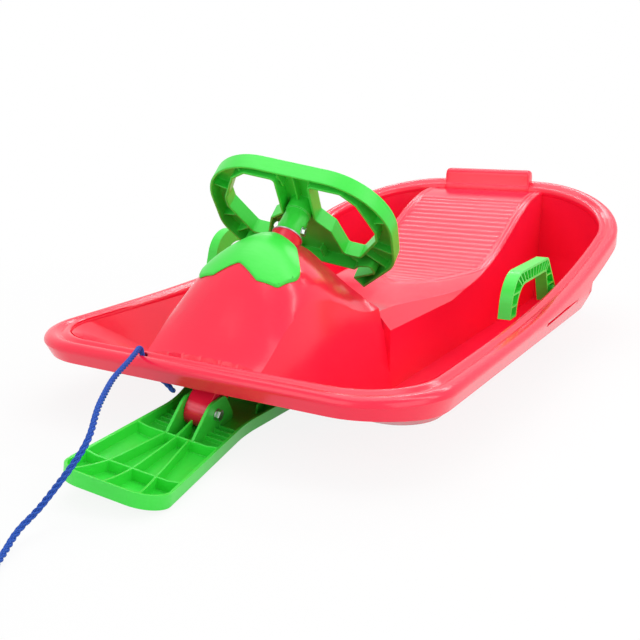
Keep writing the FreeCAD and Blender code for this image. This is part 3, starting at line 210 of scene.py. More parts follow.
ROPE_ROUGH, ROPE_ROUGH_SPAN, ROPE_SPECULAR, ROPE_BUMP = 0.5, 0.3, 0.25, (0.6, 0.0003)


def metres(points):
    """Points of the drawing, in millimetres about the tub's middle, in the frame."""
    return (np.asarray(points, float) + np.array([0, ORIGIN_SHIFT, 0])) / MM_PER_M


def unit(vectors):
    return vectors / np.linalg.norm(vectors, axis=-1, keepdims=True)


def ramp(value, start, reach):
    """Nothing up to start, one from a reach further on, and straight between."""
    return np.clip((value - start) / reach, 0, 1)


def ease(share):
    """A share from nothing to one that sets off and arrives gently."""
    return share * share * (3 - 2 * share)


def smooth_line(name, route):
    """Evenly spaced points of the smooth curve that a route's points draw."""
    curve = bpy.data.curves.new(name, "CURVE")
    curve.dimensions = "3D"
    spline = curve.splines.new("NURBS")
    spline.points.add(len(route) - 1)
    for point, place in zip(spline.points, metres(route)):
        point.co = (*place, 1)
    spline.order_u = 3
    spline.use_endpoint_u = True
    spline.resolution_u = ROPE_SMOOTH
    drawn = bpy.data.objects.new(name, curve)
    line = bpy.data.meshes.new_from_object(drawn)
    points = np.array([v.co for v in line.vertices])
    bpy.data.objects.remove(drawn)
    along = np.concatenate([[0], np.cumsum(np.linalg.norm(np.diff(points, axis=0), axis=1))])
    even = np.linspace(0, along[-1], int(along[-1] * MM_PER_M / ROPE_STEP))
    return np.stack([np.interp(even, along, points[:, k]) for k in range(3)], axis=1), even


def capped_tube(rings, sides, first=0):
    """Faces of a tube of rings of points, numbered from first, with a flat cap at each end."""
    faces = []
    for k in range(rings - 1):
        for j in range(sides):
            a, b = first + k * sides + j, first + k * sides + (j + 1) % sides
            faces.append((a, b, b + sides, a + sides))
    faces.append(tuple(first + j for j in reversed(range(sides))))
    faces.append(tuple(first + (rings - 1) * sides + j for j in range(sides)))
    return faces


def mesh_of(name, points, faces, finish):
    """A mesh with one finish, from points in the frame."""
    mesh = bpy.data.meshes.new(name)
    mesh.from_pydata([tuple(p) for p in points], [], faces)
    mesh.materials.append(finish)
    mesh.validate()
    return mesh


def hull_piece(name, mesh, replaced, crease=None):
    """A new piece that rides on the tub; edges sharper than the crease, in degrees, stay hard."""
    mesh.name = name
    mesh.shade_smooth()
    if crease is not None:
        mesh.set_sharp_from_angle(angle=math.radians(crease))
    made = bpy.data.objects.new(name, mesh)
    scene.collection.objects.link(made)
    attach(made, "hull")
    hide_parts(*replaced)
    return made


def laid_rope(name, line, along, replaced):
    """Three strands twisted about a line, with a blunt melted end at each end."""
    tangents = unit(np.gradient(line, axis=0))
    side = unit(np.cross(tangents[0], FIRST_SIDE))
    sides = []
    for tangent in tangents:
        side = unit(side - tangent * side.dot(tangent))
        sides.append(side)
    sides = np.array(sides)
    others = np.cross(tangents, sides)
    inward = np.minimum(along, along[-1] - along) * MM_PER_M
    close = np.sqrt(np.clip(1 - (1 - ramp(inward, 0, END_TAPER)) ** 2, END_LEAST, 1))
    lays = along * MM_PER_M / ROPE_LAY
    points, faces, marks = [], [], []
    for strand in range(STRANDS):
        turn = 2 * math.pi * (lays + strand / STRANDS)
        outward = sides * np.cos(turn)[:, None] + others * np.sin(turn)[:, None]
        centre = line + outward * ((ROPE_DIA / 2 - STRAND) / MM_PER_M * close)[:, None]
        heading = unit(np.gradient(centre, axis=0))
        outward = unit(outward - heading * np.sum(outward * heading, axis=1)[:, None])
        across = np.cross(heading, outward)
        faces += capped_tube(len(line), STRAND_SIDES, len(points))
        for k, reach in enumerate(STRAND / MM_PER_M * close):
            for j in range(STRAND_SIDES):
                angle = 2 * math.pi * j / STRAND_SIDES
                way = math.cos(angle) * outward[k] + math.sin(angle) * across[k]
                points.append(centre[k] + reach * way)
                marks.append((lays[k], j / STRAND_SIDES))
    mesh = mesh_of(name, points, faces, rope_finish)
    chart = mesh.uv_layers.new(name="yarn")
    for loop in mesh.loops:
        chart.data[loop.index].uv = marks[loop.vertex_index]
    return hull_piece(name, mesh, replaced)


# Yarns of the strands: fine slanting threads, with painted shade darkening the grooves between
# them, and stray pale fibres
rope_finish = bpy.data.materials.new("blue_laid_cord")
cord = Shading(rope_finish)
chart = cord.place("UV")
lengthwise = cord.node("ShaderNodeSeparateXYZ", {}, {0: chart}, "X")
crosswise = cord.node("ShaderNodeSeparateXYZ", {}, {0: chart}, "Y")
slant = lengthwise * YARNS + crosswise * YARN_SLANT
from_middle = slant.maths("FRACT", slant) * 2 - 1
ridge = 1 - from_middle * from_middle
fibres = cord.noise(cord.place(), *FIBRES)
# Painted shade: the blue darkens from each yarn's ridge into the groove beside it
blue = cord.mix(ridge * YARN_PAINTED_SHADE + (1 - YARN_PAINTED_SHADE), ROPE_PAINTED_SHADE, ROPE_BLUE)
blue = cord.mix((fibres > STRAY_FIBRE) * STRAY_SHARE, blue, ROPE_PALE)
cord.surface({"Base Color": blue, "Roughness": fibres * ROPE_ROUGH_SPAN + ROPE_ROUGH,
              "Specular IOR Level": ROPE_SPECULAR,
              "Normal": cord.bump(ridge + fibres * FIBRE_HEIGHT, *ROPE_BUMP)})

# The spare coil: half turns inwards on the ground, then a climb, and outwards again on top
coil = []
for k, (here, there) in enumerate(zip(COIL_RADII, COIL_RADII[1:])):
    side = 1 if k % 2 == 0 else -1
    middle_x, radius = COIL_X + side * (here - there) / 2, (here + there) / 2 * COIL_SPREAD
    for j in range(COIL_POINTS):
        share = (j + 0.5) / COIL_POINTS
        rise = 0 if k < COIL_CLIMB else 1 if k > COIL_CLIMB else ease(share)
        coil.append((middle_x + side * radius * math.cos(math.pi * share),
                     COIL_Y - side * radius * math.sin(math.pi * share),
                     COIL_LOW + COIL_PITCH * rise))
coil += [(COIL_X - COIL_RADII[-1], COIL_Y, COIL_LOW + COIL_PITCH),
         (COIL_X - COIL_RADII[-1], COIL_Y + ROPE_DIA, COIL_LOW + COIL_PITCH)]
rope_line, rope_along = smooth_line("rope_route", ROPE_ROUTE + coil)
tow_rope = laid_rope("tow_rope", rope_line, rope_along, ["rope_stretch", "rope_coil"])


# Knot: the rope's inner end, wound up round itself and pulled tight below the rim, so that it
# can't slip back through the hole. Its short tail is led out to the left.
KNOT_X, KNOT_Y = -61, -393.5
KNOT_LOW, KNOT_TALL, KNOT_TIGHT, KNOT_GROWTH, KNOT_WIDEST = 61.6, 9.7, 5.2, 0.16, 7.1
KNOT_POINTS, KNOT_CLIMB, KNOT_STEP = 27, 26, math.pi / 6
TAIL_ROUTE = [(-24.29, -392.0, 44.9), (-32.29, -392.8, 52.4), (-40.29, -393.5, 56.9),
              (-49.29, -393.5, 58.9)]
KNOT_CORE = [(KNOT_X - 2, KNOT_Y - 3, 71.2), (KNOT_X, KNOT_Y, 68), (KNOT_X, KNOT_Y, 60.5)]
knot_turns = []
for k in range(1, KNOT_POINTS + 1):
    reach = min(KNOT_TIGHT + KNOT_GROWTH * k, KNOT_WIDEST)
    knot_turns.append((math.cos(KNOT_STEP * k) * reach + KNOT_X,
                       math.sin(KNOT_STEP * k) * reach + KNOT_Y,
                       KNOT_LOW + KNOT_TALL * min(k / KNOT_CLIMB, 1)))
knot_line, knot_along = smooth_line("knot_route", TAIL_ROUTE + knot_turns + KNOT_CORE)
rope_knot = laid_rope("rope_knot_and_tail", knot_line, knot_along, ["rope_knot", "rope_tail"])


# Tie: a thin black woven strap, laid once round the spare coil as a rounded loop.
# It keeps the turns together on the ground.
TIE_WIDTH, TIE_THICK, TIE_ROUND, TIE_EDGE, TIE_BENDS = 9.0, 1.0, 3.0, 0.35, 6
STRAP_BLACK, STRAP_GREY = (0.012, 0.012, 0.013, 1), (0.05, 0.05, 0.053, 1)
WEAVE, DUST, DUST_SHARE = 1100, (260, 3), 0.5
STRAP_ROUGH, STRAP_ROUGH_SPAN, STRAP_BUMP, TIE_CREASE = 0.55, 0.3, (0.35, 0.0002), 40
(tie_x0, tie_y0, tie_z0), (tie_x1, tie_y1, tie_z1) = [
    [side * MM_PER_M for side in corner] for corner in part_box("rope_tie")]
strap_finish = bpy.data.materials.new("black_woven_strap")
strap = Shading(strap_finish)
weave = strap.node("ShaderNodeTexChecker", {}, {"Vector": strap.place(), "Scale": WEAVE}, "Fac")
dust = strap.noise(strap.place(), *DUST)
worn = weave * (1 - DUST_SHARE) + dust * DUST_SHARE
strap.surface({"Base Color": strap.mix(worn, STRAP_BLACK, STRAP_GREY),
               "Roughness": dust * STRAP_ROUGH_SPAN + STRAP_ROUGH,
               "Normal": strap.bump(weave, *STRAP_BUMP)})


def strap_loop(inset):
    """Rounded loop of the strap, in its lengthwise plane, drawn in by inset."""
    loop = []
    bend = TIE_ROUND - inset
    for y, z, start in ((tie_y1, tie_z1, 0), (tie_y0, tie_z1, 90),
                        (tie_y0, tie_z0, 180), (tie_y1, tie_z0, 270)):
        bend_y = y - math.copysign(TIE_ROUND, y - (tie_y0 + tie_y1) / 2)
        bend_z = z - math.copysign(TIE_ROUND, z - (tie_z0 + tie_z1) / 2)
        for k in range(TIE_BENDS + 1):
            angle = math.radians(start + 90 / TIE_BENDS * k)
            loop.append((bend_y + bend * math.cos(angle), bend_z + bend * math.sin(angle)))
    return loop


tie_x, tie_half = (tie_x0 + tie_x1) / 2, TIE_WIDTH / 2
strap_section = [
    (-tie_half + TIE_EDGE, 0), (tie_half - TIE_EDGE, 0), (tie_half, TIE_EDGE),
    (tie_half, TIE_THICK - TIE_EDGE), (tie_half - TIE_EDGE, TIE_THICK),
    (-tie_half + TIE_EDGE, TIE_THICK), (-tie_half, TIE_THICK - TIE_EDGE), (-tie_half, TIE_EDGE)]
strap_loops = [strap_loop(inset) for _, inset in strap_section]
turns, sides = len(strap_loops[0]), len(strap_section)
strap_points, strap_faces = [], []
for k in range(turns):
    here, there = k * sides, (k + 1) % turns * sides
    for j, ((x, _), loop) in enumerate(zip(strap_section, strap_loops)):
        after = (j + 1) % sides
        strap_points.append([side / MM_PER_M for side in (tie_x + x, *loop[k])])
        strap_faces.append((here + j, there + j, there + after, here + after))
coil_tie = hull_piece("coil_tie", mesh_of("coil_tie", strap_points, strap_faces, strap_finish),
                      ["rope_tie"], TIE_CREASE)


# Tub: one moulding of glossy red plastic. Its rim is a rolled outer edge, a shallow groove and a
# bead along the inner wall, in one sweep with the lip at the bow and the deep skirts at the sides.
FRONT, STERN = -410.0, 410.0
HALF_FRONT, HALF_REAR = 233.0, 243.0
BOW_ROUND, BOW_ROUND_SHARE, STERN_ROUND = 85.0, 0.6, 170.0
RIM_FRONT, RIM_STERN, RIM_POWER = 78.0, 192.0, 3.2
SHOULDER, FOOT_INSET, FOOT_Z, LIP = 75.0, 10.0, 52.0, 21.0
SKIRT_RUN, SKIRT_END, SKIRT_END_ROUND = -340.0, 126.0, 16.0
ROLL_BOW, ROLL_SIDE, ROLL_BLEND = 7.8, 6.5, (-330.0, -250.0)
SIDE_FIRST, SIDE_LAST, SIDE_COUNT = -311.0, 236.0, 118
BOW_COUNT, BOW_ARC, STERN_ARC, STERN_COUNT = 76, 28, 48, 18
SKIN_ROWS, ROLL_ROWS = 8, 7
PLAN_STEP, PLAN_LAST = 0.5, 28.0
RIM_START, RIM_THICK, RIM_CREASE = 8.7, 2.2, 32
RIM_SECTION = np.array([
    (2.6, 0.0), (5.0, -0.9), (6.6, -2.2), (8.4, -2.7), (10.0, -2.0), (11.4, -0.7), (12.9, 0.1),
    (14.4, 0.4), (15.8, 0.1), (17.0, -0.9), (17.7, -2.4), (18.0, -4.6), (18.0, -9.0), (17.4, -10.4),
])
SLOT_Y, SLOT_LOW, SLOT_TOP, SLOT_ROW = (-68.0, 56.0), (69.5, 76.5), 77.2, 5
HOLE_DIA = 10.0
RED_DEEP, RED, RED_PALE = (0.84, 0.006, 0.036, 1), (0.97, 0.011, 0.056, 1), (0.98, 0.05, 0.11, 1)
RED_GLOSS, RED_SPECULAR = 0.15, 0.5
CLOUDS, RIPPLES, GRAIN, SCUFFS = (7, 3), (55, 2), (900, 2), (1, 3)
SCUFF_STRETCH, CLOUD_SHARE, SCUFF_PALE = (30, 420, 420), 0.6, 0.2
CLOUD_ROUGH, SCUFF_ROUGH, GRAIN_HEIGHT, RIPPLE_BUMP = 0.06, 0.05, 0.02, (0.05, 0.002)


def rim_height(y):
    share = ramp(np.asarray(y, float), FRONT, STERN - FRONT)
    return RIM_FRONT + (RIM_STERN - RIM_FRONT) * share ** RIM_POWER


def outline(inset):
    """Plan of the rim's edge, drawn in by inset, from the bow's middle round the left side."""
    half_front, half_rear = HALF_FRONT - inset, HALF_REAR - inset
    nose, tail = FRONT + inset, STERN - inset
    along = unit(np.array([half_rear - half_front, tail - nose]))
    bow_round, stern_round = BOW_ROUND - BOW_ROUND_SHARE * inset, STERN_ROUND - inset
    lean = math.asin(along[0])
    bow_end = half_front - bow_round / math.tan((math.pi / 2 + lean) / 2)
    stern_end = half_rear - stern_round / math.tan((math.pi / 2 - lean) / 2)
    half_plan = [(x, nose) for x in np.linspace(0, bow_end, BOW_COUNT, endpoint=False)]
    for angle in np.linspace(-math.pi / 2, -lean, BOW_ARC, endpoint=False):
        half_plan.append((bow_end + bow_round * math.cos(angle),
                          nose + bow_round + bow_round * math.sin(angle)))
    for y in np.linspace(SIDE_FIRST, SIDE_LAST, SIDE_COUNT):
        half_plan.append((half_front + (y - nose) * along[0] / along[1], y))
    for angle in np.linspace(-lean, math.pi / 2, STERN_ARC):
        half_plan.append((stern_end + stern_round * math.cos(angle),
                          tail - stern_round + stern_round * math.sin(angle)))
    half_plan += [(x, tail) for x in np.linspace(stern_end, 0, STERN_COUNT)[1:]]
    return np.array(half_plan + [(-x, y) for x, y in half_plan[-2:0:-1]])


def skirt_foot(y, height):
    """Lower edge of the skirt: a lip at the bow and stern, and deep along the sides."""
    if y < SKIRT_RUN:
        share = (y - FRONT) / (SKIRT_RUN - FRONT)
        return RIM_FRONT - LIP + (FOOT_Z - RIM_FRONT + LIP) * ease(share)
    reach = ramp(y, SKIRT_END - SKIRT_END_ROUND, SKIRT_END_ROUND)
    return FOOT_Z + (height - LIP - FOOT_Z) * (1 - math.sqrt(1 - reach ** 3))


def moulded_plastic(name, deep, mid, pale, gloss, specular):
    """Moulded plastic: faint clouds in its colour, fine ripples, and light scuffs in its gloss."""
    finish = bpy.data.materials.new(name)
    shading = Shading(finish)
    where = shading.place()
    clouds = shading.noise(where, *CLOUDS)
    ripples = shading.noise(where, *RIPPLES)
    grain = shading.noise(where, *GRAIN)
    scuffs = shading.noise(shading.stretch(where, SCUFF_STRETCH), *SCUFFS)
    colour = shading.mix(clouds * CLOUD_SHARE + (1 - CLOUD_SHARE), deep, mid)
    colour = shading.mix(scuffs * clouds * SCUFF_PALE, colour, pale)
    shading.surface({
        "Base Color": colour, "Roughness": clouds * CLOUD_ROUGH + scuffs * SCUFF_ROUGH + gloss,
        "Specular IOR Level": specular,
        "Normal": shading.bump(ripples + grain * GRAIN_HEIGHT, *RIPPLE_BUMP)})
    return finish


def add_steps(owner, steps):
    """Give an object its modifiers, in order, with their settings."""
    for kind, settings in steps:
        step = owner.modifiers.new(kind.lower(), kind)
        for key, value in settings.items():
            setattr(step, key, value)


def worked(mesh, kind, settings):
    """A copy of a mesh with one modifier worked into it."""
    source = bpy.data.objects.new(mesh.name, mesh)
    scene.collection.objects.link(source)
    add_steps(source, [(kind, settings)])
    bpy.context.view_layer.update()
    shown = source.evaluated_get(bpy.context.evaluated_depsgraph_get())
    made = bpy.data.meshes.new_from_object(shown)
    bpy.data.objects.remove(source)
    return made


red_plastic = moulded_plastic("red_moulded_plastic", RED_DEEP, RED, RED_PALE,
                              RED_GLOSS, RED_SPECULAR)

# Each column of the rim's sheet runs from the skirt's foot up the skin, over the rolled edge and
# in across the rim, as a list of insets from the outline and of levels from the rim's height
edge_plan = outline(0)
plan_y = edge_plan[:, 1]
heights = rim_height(plan_y)
rolls = np.interp(plan_y, ROLL_BLEND, (ROLL_BOW, ROLL_SIDE))
slotted = (plan_y > SLOT_Y[0]) & (plan_y < SLOT_Y[1])
roll_angles = math.pi / 2 * np.arange(1, ROLL_ROWS + 1) / ROLL_ROWS
insets, levels = [], []
for y, height, roll, cut in zip(plan_y, heights, rolls, slotted):
    foot = skirt_foot(y, height)
    skin = np.linspace(foot, height - roll, SKIN_ROWS)
    if cut:
        slot_low = np.interp(y, SLOT_Y, SLOT_LOW)
        skin[:SLOT_ROW + 1] = np.linspace(foot, slot_low, SLOT_ROW + 1)
        skin[SLOT_ROW + 1] = SLOT_TOP
    skin_inset = FOOT_INSET * np.maximum(SHOULDER - skin, 0) / (SHOULDER - FOOT_Z)
    roll_inset = skin_inset[-1] + roll * (1 - np.cos(roll_angles))
    insets.append(np.concatenate([skin_inset, roll_inset, RIM_START + RIM_SECTION[:, 0]]))
    levels.append(np.concatenate([skin - height, roll * (np.sin(roll_angles) - 1),
                                  RIM_SECTION[:, 1]]))

plans = np.array([outline(inset) for inset in np.arange(0, PLAN_LAST + PLAN_STEP, PLAN_STEP)])
rim_points = []
for k, column in enumerate(zip(insets, levels)):
    for inset, level in zip(*column):
        outer = min(int(inset / PLAN_STEP), len(plans) - 2)
        share = inset / PLAN_STEP - outer
        x, y = plans[outer][k] * (1 - share) + plans[outer + 1][k] * share
        rim_points.append((x, y, float(rim_height(y)) + level))
rim_points = np.array(rim_points)

# The brakes' slots and the rope's hole are left out of the sheet, and the hole is drawn round
columns, rows = len(edge_plan), len(insets[0])
hole_middle = np.array([KNOT_X, KNOT_Y])
from_hole = rim_points[:, :2] - hole_middle
spread = np.linalg.norm(from_hole, axis=1)
rim_faces, hole_corners = [], set()
for k in range(columns):
    after = (k + 1) % columns
    for row in range(rows - 1):
        a, b = k * rows + row, after * rows + row
        corners = (a, b, b + 1, a + 1)
        if row == SLOT_ROW and slotted[k] and slotted[after]:
            continue
        if row > SKIN_ROWS + ROLL_ROWS and np.mean(spread[list(corners)]) < HOLE_DIA / 2:
            hole_corners.update(corners)
        else:
            rim_faces.append(corners)
for k in hole_corners & {k for corners in rim_faces for k in corners}:
    rim_points[k, :2] = hole_middle + from_hole[k] * HOLE_DIA / 2 / spread[k]
rim_sheet = mesh_of("rim_sheet", metres(rim_points), rim_faces, red_plastic)
rim_wall = worked(rim_sheet, "SOLIDIFY", {
    "thickness": RIM_THICK / MM_PER_M, "offset": -1, "use_even_offset": True})
hull_piece("rim_and_skirts", rim_wall, ["hull_shell"], RIM_CREASE)


# Well: the same red moulding inside the rim, with its floor, walls, hood and seat base. Its walls
# end below the rim, its stern makes room for the grip, and its edges are rounded in the mould.
WELL_INSET, WALL_INSET, WALL_REACH, WALL_DROP = 22.5, 26.2, 1.6, 6.0
GRIP_ROOM_HALF, GRIP_ROOM_Y, GRIP_ROOM_DROP = 75.0, 380.0, 1.0
WELL_MERGE, WELL_FLAT, WELL_ROUND, WELL_EDGE, WELL_CREASE = 0.01, 0.5, 2.4, 24, 28
hull_mesh = nodes["hull_shell"].data


def edge_distance(points, plan):
    """Distance of points from a closed plan's line, seen from above."""
    best = np.full(len(points), np.inf)
    for start, step in zip(plan, np.roll(plan, -1, axis=0) - plan):
        share = np.clip(((points - start) @ step) / (step @ step), 0, 1)
        best = np.minimum(best, np.linalg.norm(points - start - share[:, None] * step, axis=1))
    return best


places = np.array([v.co for v in hull_mesh.vertices]) * MM_PER_M - np.array([0, ORIGIN_SHIFT, 0])
inset_of = edge_distance(places[:, :2], edge_plan)
crest_of = rim_height(places[:, 1])
below_crest = crest_of - places[:, 2]
grip_room = ((below_crest < GRIP_ROOM_DROP) & (np.abs(places[:, 0]) < GRIP_ROOM_HALF)
             & (places[:, 1] > GRIP_ROOM_Y))
left_out = (inset_of < WELL_INSET) | grip_room
wall_top = (inset_of < WALL_INSET) & (below_crest < WALL_REACH)
tool = bmesh.new()
tool.from_mesh(hull_mesh)
tool.verts.ensure_lookup_table()
gone = [face for face in tool.faces if any(left_out[v.index] for v in face.verts)]
for v in tool.verts:
    if wall_top[v.index]:
        v.co.z -= WALL_DROP / MM_PER_M
bmesh.ops.delete(tool, geom=gone, context="FACES")
bmesh.ops.remove_doubles(tool, verts=tool.verts, dist=WELL_MERGE / MM_PER_M)
well_mesh = bpy.data.meshes.new("tub_well")
tool.to_mesh(well_mesh)
tool.free()
well_mesh.materials.append(red_plastic)
well = hull_piece("tub_well", well_mesh, ["hull_shell"], WELL_CREASE)
add_steps(well, [
    ("DECIMATE", {"decimate_type": "DISSOLVE", "angle_limit": math.radians(WELL_FLAT)}),
    ("BEVEL", {"width": WELL_ROUND / MM_PER_M, "segments": 3, "limit_method": "ANGLE",
               "angle_limit": math.radians(WELL_EDGE), "use_clamp_overlap": True}),
    ("WEIGHTED_NORMAL", {"keep_sharp": False}),
])


# Seat: a ribbed field in the moulding, with a double bead round its sides and its drawn-in
# front, and a plain pad below the grip. Its cross ribs keep the rider from sliding.
SEAT_FRONT, RIBS_END, SEAT_STERN, SEAT_HALF = 1.0, 311.0, 383.6, 96.4
RIB_PITCH, RIB_RISE, RIB_CROWN, RIB_FADE = 11.5, 2.0, 0.7, 4.0
FIELD_SINK, PAD_PROUD, PAD_FADE, FRONT_SINK, FRONT_FADE = 0.9, 0.5, 5.0, 1.6, 5.0
FIELD_FRONT, FIELD_DRAW, FIELD_POWER = 22.0, 100.0, 1.35
RIBS_INSIDE, PAD_INSIDE, INSIDE_FADE = 13.0, 12.0, 3.0
HIP_Y, HIP_LOW, HIP_HALF, HIP_FALL = (-205.0, 0.0, 80.0), (70.5, 70.5, 82.0), 95.2, 1.1
PROBE_Y, PROBE_X, PROBE_HIGH = (5.0, 15.0), (80.0, 88.0), 260.0
PROBE_STEP, PROBE_MARGIN, PROBE_POWER = 4.0, (1.0, 2.0), 8
PAN_ROW, PAN_COLUMN, PAN_FINE, PAN_MARGIN = 1.4375, 1.9, 0.9, (15.0, 2.0)
PAN_PROUD, PAN_THICK, PAN_CREASE, BEAD_BLEND = 0.2, 1.0, 50, 6.0
BEADS = np.array([
    (-2.0, 0.0), (0.0, 0.0), (1.3, 0.4), (2.4, 1.1), (3.8, 1.5), (5.2, 1.1), (6.4, 0.2),
    (7.6, 1.1), (9.0, 1.5), (10.4, 1.1), (11.8, 0.0), (12.6, -FIELD_SINK)])
EDGE = np.array([(0.0, -4.0), (0.1, -2.2), (0.5, -0.7), (1.3, 0.0)])

# The seat's height along its length is felt from above on the solid, and smoothed
hull_tree = BVHTree.FromPolygons([v.co for v in hull_mesh.vertices],
                                 [p.vertices for p in hull_mesh.polygons])
probe_y = np.arange(SEAT_FRONT + PROBE_MARGIN[0], SEAT_STERN - PROBE_MARGIN[1], PROBE_STEP)
probe_z = []
for y in probe_y:
    above = metres((np.interp(y, PROBE_Y, PROBE_X), y, PROBE_HIGH))
    probe_z.append(hull_tree.ray_cast(Vector(above), Vector((0, 0, -1)))[0].z * MM_PER_M)
middle_y, reach_y = (SEAT_FRONT + SEAT_STERN) / 2, (SEAT_STERN - SEAT_FRONT) / 2
seat_fit = np.polyfit((probe_y - middle_y) / reach_y, probe_z, PROBE_POWER)

fine_from, fine_to = SEAT_HALF - np.array(PAN_MARGIN)
half_columns = np.concatenate([np.arange(0, fine_from, PAN_COLUMN),
                               np.arange(fine_from, fine_to, PAN_FINE), SEAT_HALF - EDGE[::-1, 0]])
pan_columns = np.concatenate([-half_columns[:0:-1], half_columns])
pan_rows = np.arange(SEAT_FRONT, SEAT_STERN, PAN_ROW)
pan_points, pan_faces = [], []
for y in pan_rows:
    height = np.polyval(seat_fit, (y - middle_y) / reach_y)
    hip = HIP_HALF - (height - np.interp(y, HIP_Y, HIP_LOW)) / HIP_FALL
    narrow = min(1, hip / SEAT_HALF) if y < HIP_Y[-1] else 1
    crown = math.sin(math.pi * ((y - FIELD_FRONT) / RIB_PITCH % 1)) ** RIB_CROWN
    rib = crown * RIB_RISE * ramp(RIBS_END - y, 0, RIB_FADE)
    pad = ramp(y, RIBS_END, PAD_FADE) * (FIELD_SINK + PAD_PROUD)
    sunk = ramp(y, SEAT_FRONT, FRONT_FADE) * FRONT_SINK - FRONT_SINK
    for x in pan_columns:
        share = abs(x) / SEAT_HALF
        border = y - FIELD_FRONT - FIELD_DRAW * share ** FIELD_POWER
        slope = FIELD_DRAW * FIELD_POWER / SEAT_HALF * share ** (FIELD_POWER - 1)
        behind, beside = border / math.hypot(1, slope), SEAT_HALF - abs(x)
        blend = ramp(beside - behind, -BEAD_BLEND, 2 * BEAD_BLEND)
        inside = beside * (1 - blend) + behind * blend - BEAD_BLEND * blend * (1 - blend)
        rise = np.interp(inside, *BEADS.T) + np.interp(beside, *EDGE.T)
        rise += ramp(inside, RIBS_INSIDE, INSIDE_FADE) * rib
        rise += ramp(inside, PAD_INSIDE, INSIDE_FADE) * pad
        pan_points.append((x * narrow, y, height + rise + sunk + PAN_PROUD))
wide = len(pan_columns)
for k in range(len(pan_rows) - 1):
    for a in range(k * wide, (k + 1) * wide - 1):
        pan_faces.append((a, a + 1, a + wide + 1, a + wide))
pan_sheet = mesh_of("pan_sheet", metres(pan_points), pan_faces, red_plastic)
pan_wall = worked(pan_sheet, "SOLIDIFY", {"thickness": PAN_THICK / MM_PER_M, "offset": -1})
hull_piece("seat_ribs", pan_wall, ["hull_shell"], PAN_CREASE)


# Grip: a rounded bar moulded over the stern rim, in one with the tub, on a low foot that meets
# the seat's pad. The sled is lifted and pushed by it.
GRIP_SECTION = [
    (380.4, 170.0), (380.4, 180.5), (381.0, 182.0), (382.4, 183.0), (383.6, 183.8), (384.0, 185.5),
    (384.0, 199.0), (384.5, 202.2), (385.9, 205.0), (388.2, 207.1), (391.4, 208.0), (396.6, 208.0),
    (399.8, 207.1), (402.1, 205.0), (403.5, 202.2), (404.0, 199.0), (404.0, 176.0), (401.0, 170.0)]
GRIP_Y, GRIP_Z, GRIP_EDGE, GRIP_CREASE = 393.0, 178.0, 0.6, 34
GRIP_ENDS = [(66.0, 1.0), (68.8, 0.985), (70.6, 0.955), (71.6, 0.91), (72.0, 0.85)]
stations = [(-x, share) for x, share in reversed(GRIP_ENDS)] + [(0.0, 1.0)] + GRIP_ENDS
grip_points = [(x, GRIP_Y + (y - GRIP_Y) * share, GRIP_Z + (z - GRIP_Z) * share)
               for x, share in stations for y, z in GRIP_SECTION]
grip_faces = capped_tube(len(stations), len(GRIP_SECTION))
grip_block = mesh_of("grip_block", metres(grip_points), grip_faces, red_plastic)
grip_bar = worked(grip_block, "BEVEL", {
    "width": GRIP_EDGE / MM_PER_M, "segments": 2, "limit_method": "ANGLE"})
hull_piece("stern_grip", grip_bar, ["hull_shell"], GRIP_CREASE)


# Green mouldings: cap on the hood, steering wheel, ski and brakes, all of one semi-gloss plastic
# with edges rounded in the mould.
GREEN_DEEP, GREEN, GREEN_PALE = (0.012, 0.6, 0.02, 1), (0.04, 0.78, 0.055, 1), (0.3, 0.9, 0.32, 1)
GREEN_GLOSS, GREEN_SPECULAR = 0.3, 0.45
GREEN_EDGES = {"hood_cap": 0.8, "steering_wheel": 0.9, "ski": 0.6, "brake_handle_left": 0.7,
               "brake_handle_right": 0.7, "brake_claw_left": 0.6, "brake_claw_right": 0.6}
SOLID_MERGE, SOLID_FLAT, SOLID_EDGE = 0.02, 0.4, 38
green_plastic = moulded_plastic("green_moulded_plastic", GREEN_DEEP, GREEN, GREEN_PALE,
                                GREEN_GLOSS, GREEN_SPECULAR)


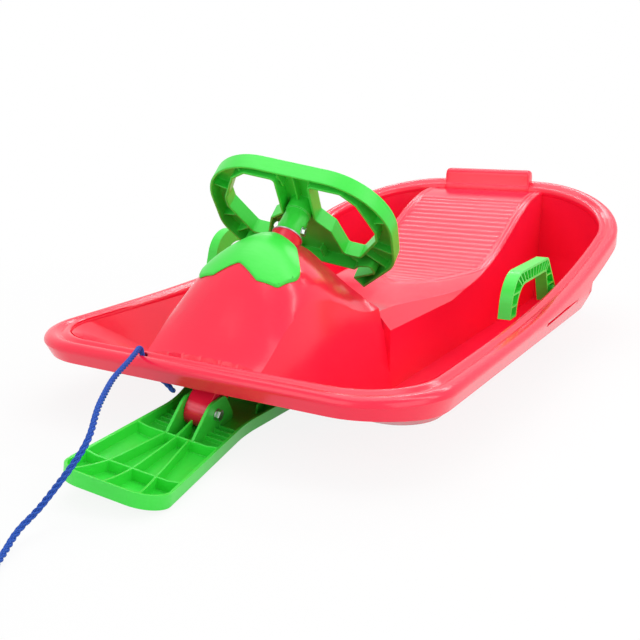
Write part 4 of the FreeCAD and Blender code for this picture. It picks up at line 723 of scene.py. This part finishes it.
def dress(name, finish, edge, clamped=False):
    """Give a CAD solid its finish and round its edges by a mould's radius, in millimetres."""
    solid = nodes[name]
    for slot in solid.material_slots:
        slot.material = finish
    add_steps(solid, [
        ("WELD", {"merge_threshold": SOLID_MERGE / MM_PER_M}),
        ("DECIMATE", {"decimate_type": "DISSOLVE", "angle_limit": math.radians(SOLID_FLAT)}),
        ("BEVEL", {"width": edge / MM_PER_M, "segments": 2, "limit_method": "ANGLE",
                   "angle_limit": math.radians(SOLID_EDGE), "use_clamp_overlap": clamped}),
        ("WEIGHTED_NORMAL", {"keep_sharp": False}),
    ])


for name, edge in GREEN_EDGES.items():
    dress(name, green_plastic, edge, name.startswith("brake"))


# Steering post: a red moulding of the tub's plastic, with a flat foot between the ski's ears and
# a round shaft that turns in the hood's sleeve.
POST_EDGE = 1.0
dress("steering_post", red_plastic, POST_EDGE)


# Fasteners: zinc plated steel bolts, nuts, washers and screws that hold the wheel, the ski and the
# brakes, bright with fine turning marks.
ZINC_DARK, ZINC = (0.42, 0.43, 0.45, 1), (0.78, 0.79, 0.8, 1)
SPANGLE, TURNING, TURNING_STRETCH = (420, 3), (1, 2), (4000, 300, 300)
ZINC_ROUGH, ZINC_ROUGH_SPAN, ZINC_BUMP, ZINC_EDGE = 0.18, 0.25, (0.15, 0.0002), 0.3
FASTENERS = ("wheel_bolt", "wheel_nut", "wheel_washers", "column_washer", "ski_bolt", "ski_nut",
             "ski_washers", "brake_screw_left", "brake_screw_right")
zinc_finish = bpy.data.materials.new("zinc_plated_steel")
zinc = Shading(zinc_finish)
spangle = zinc.noise(zinc.place(), *SPANGLE)
turning = zinc.noise(zinc.stretch(zinc.place(), TURNING_STRETCH), *TURNING)
zinc.surface({"Base Color": zinc.mix(spangle, ZINC_DARK, ZINC), "Metallic": 1.0,
              "Roughness": turning * ZINC_ROUGH_SPAN + ZINC_ROUGH,
              "Normal": zinc.bump(turning, *ZINC_BUMP)})
for name in FASTENERS:
    dress(name, zinc_finish, ZINC_EDGE)
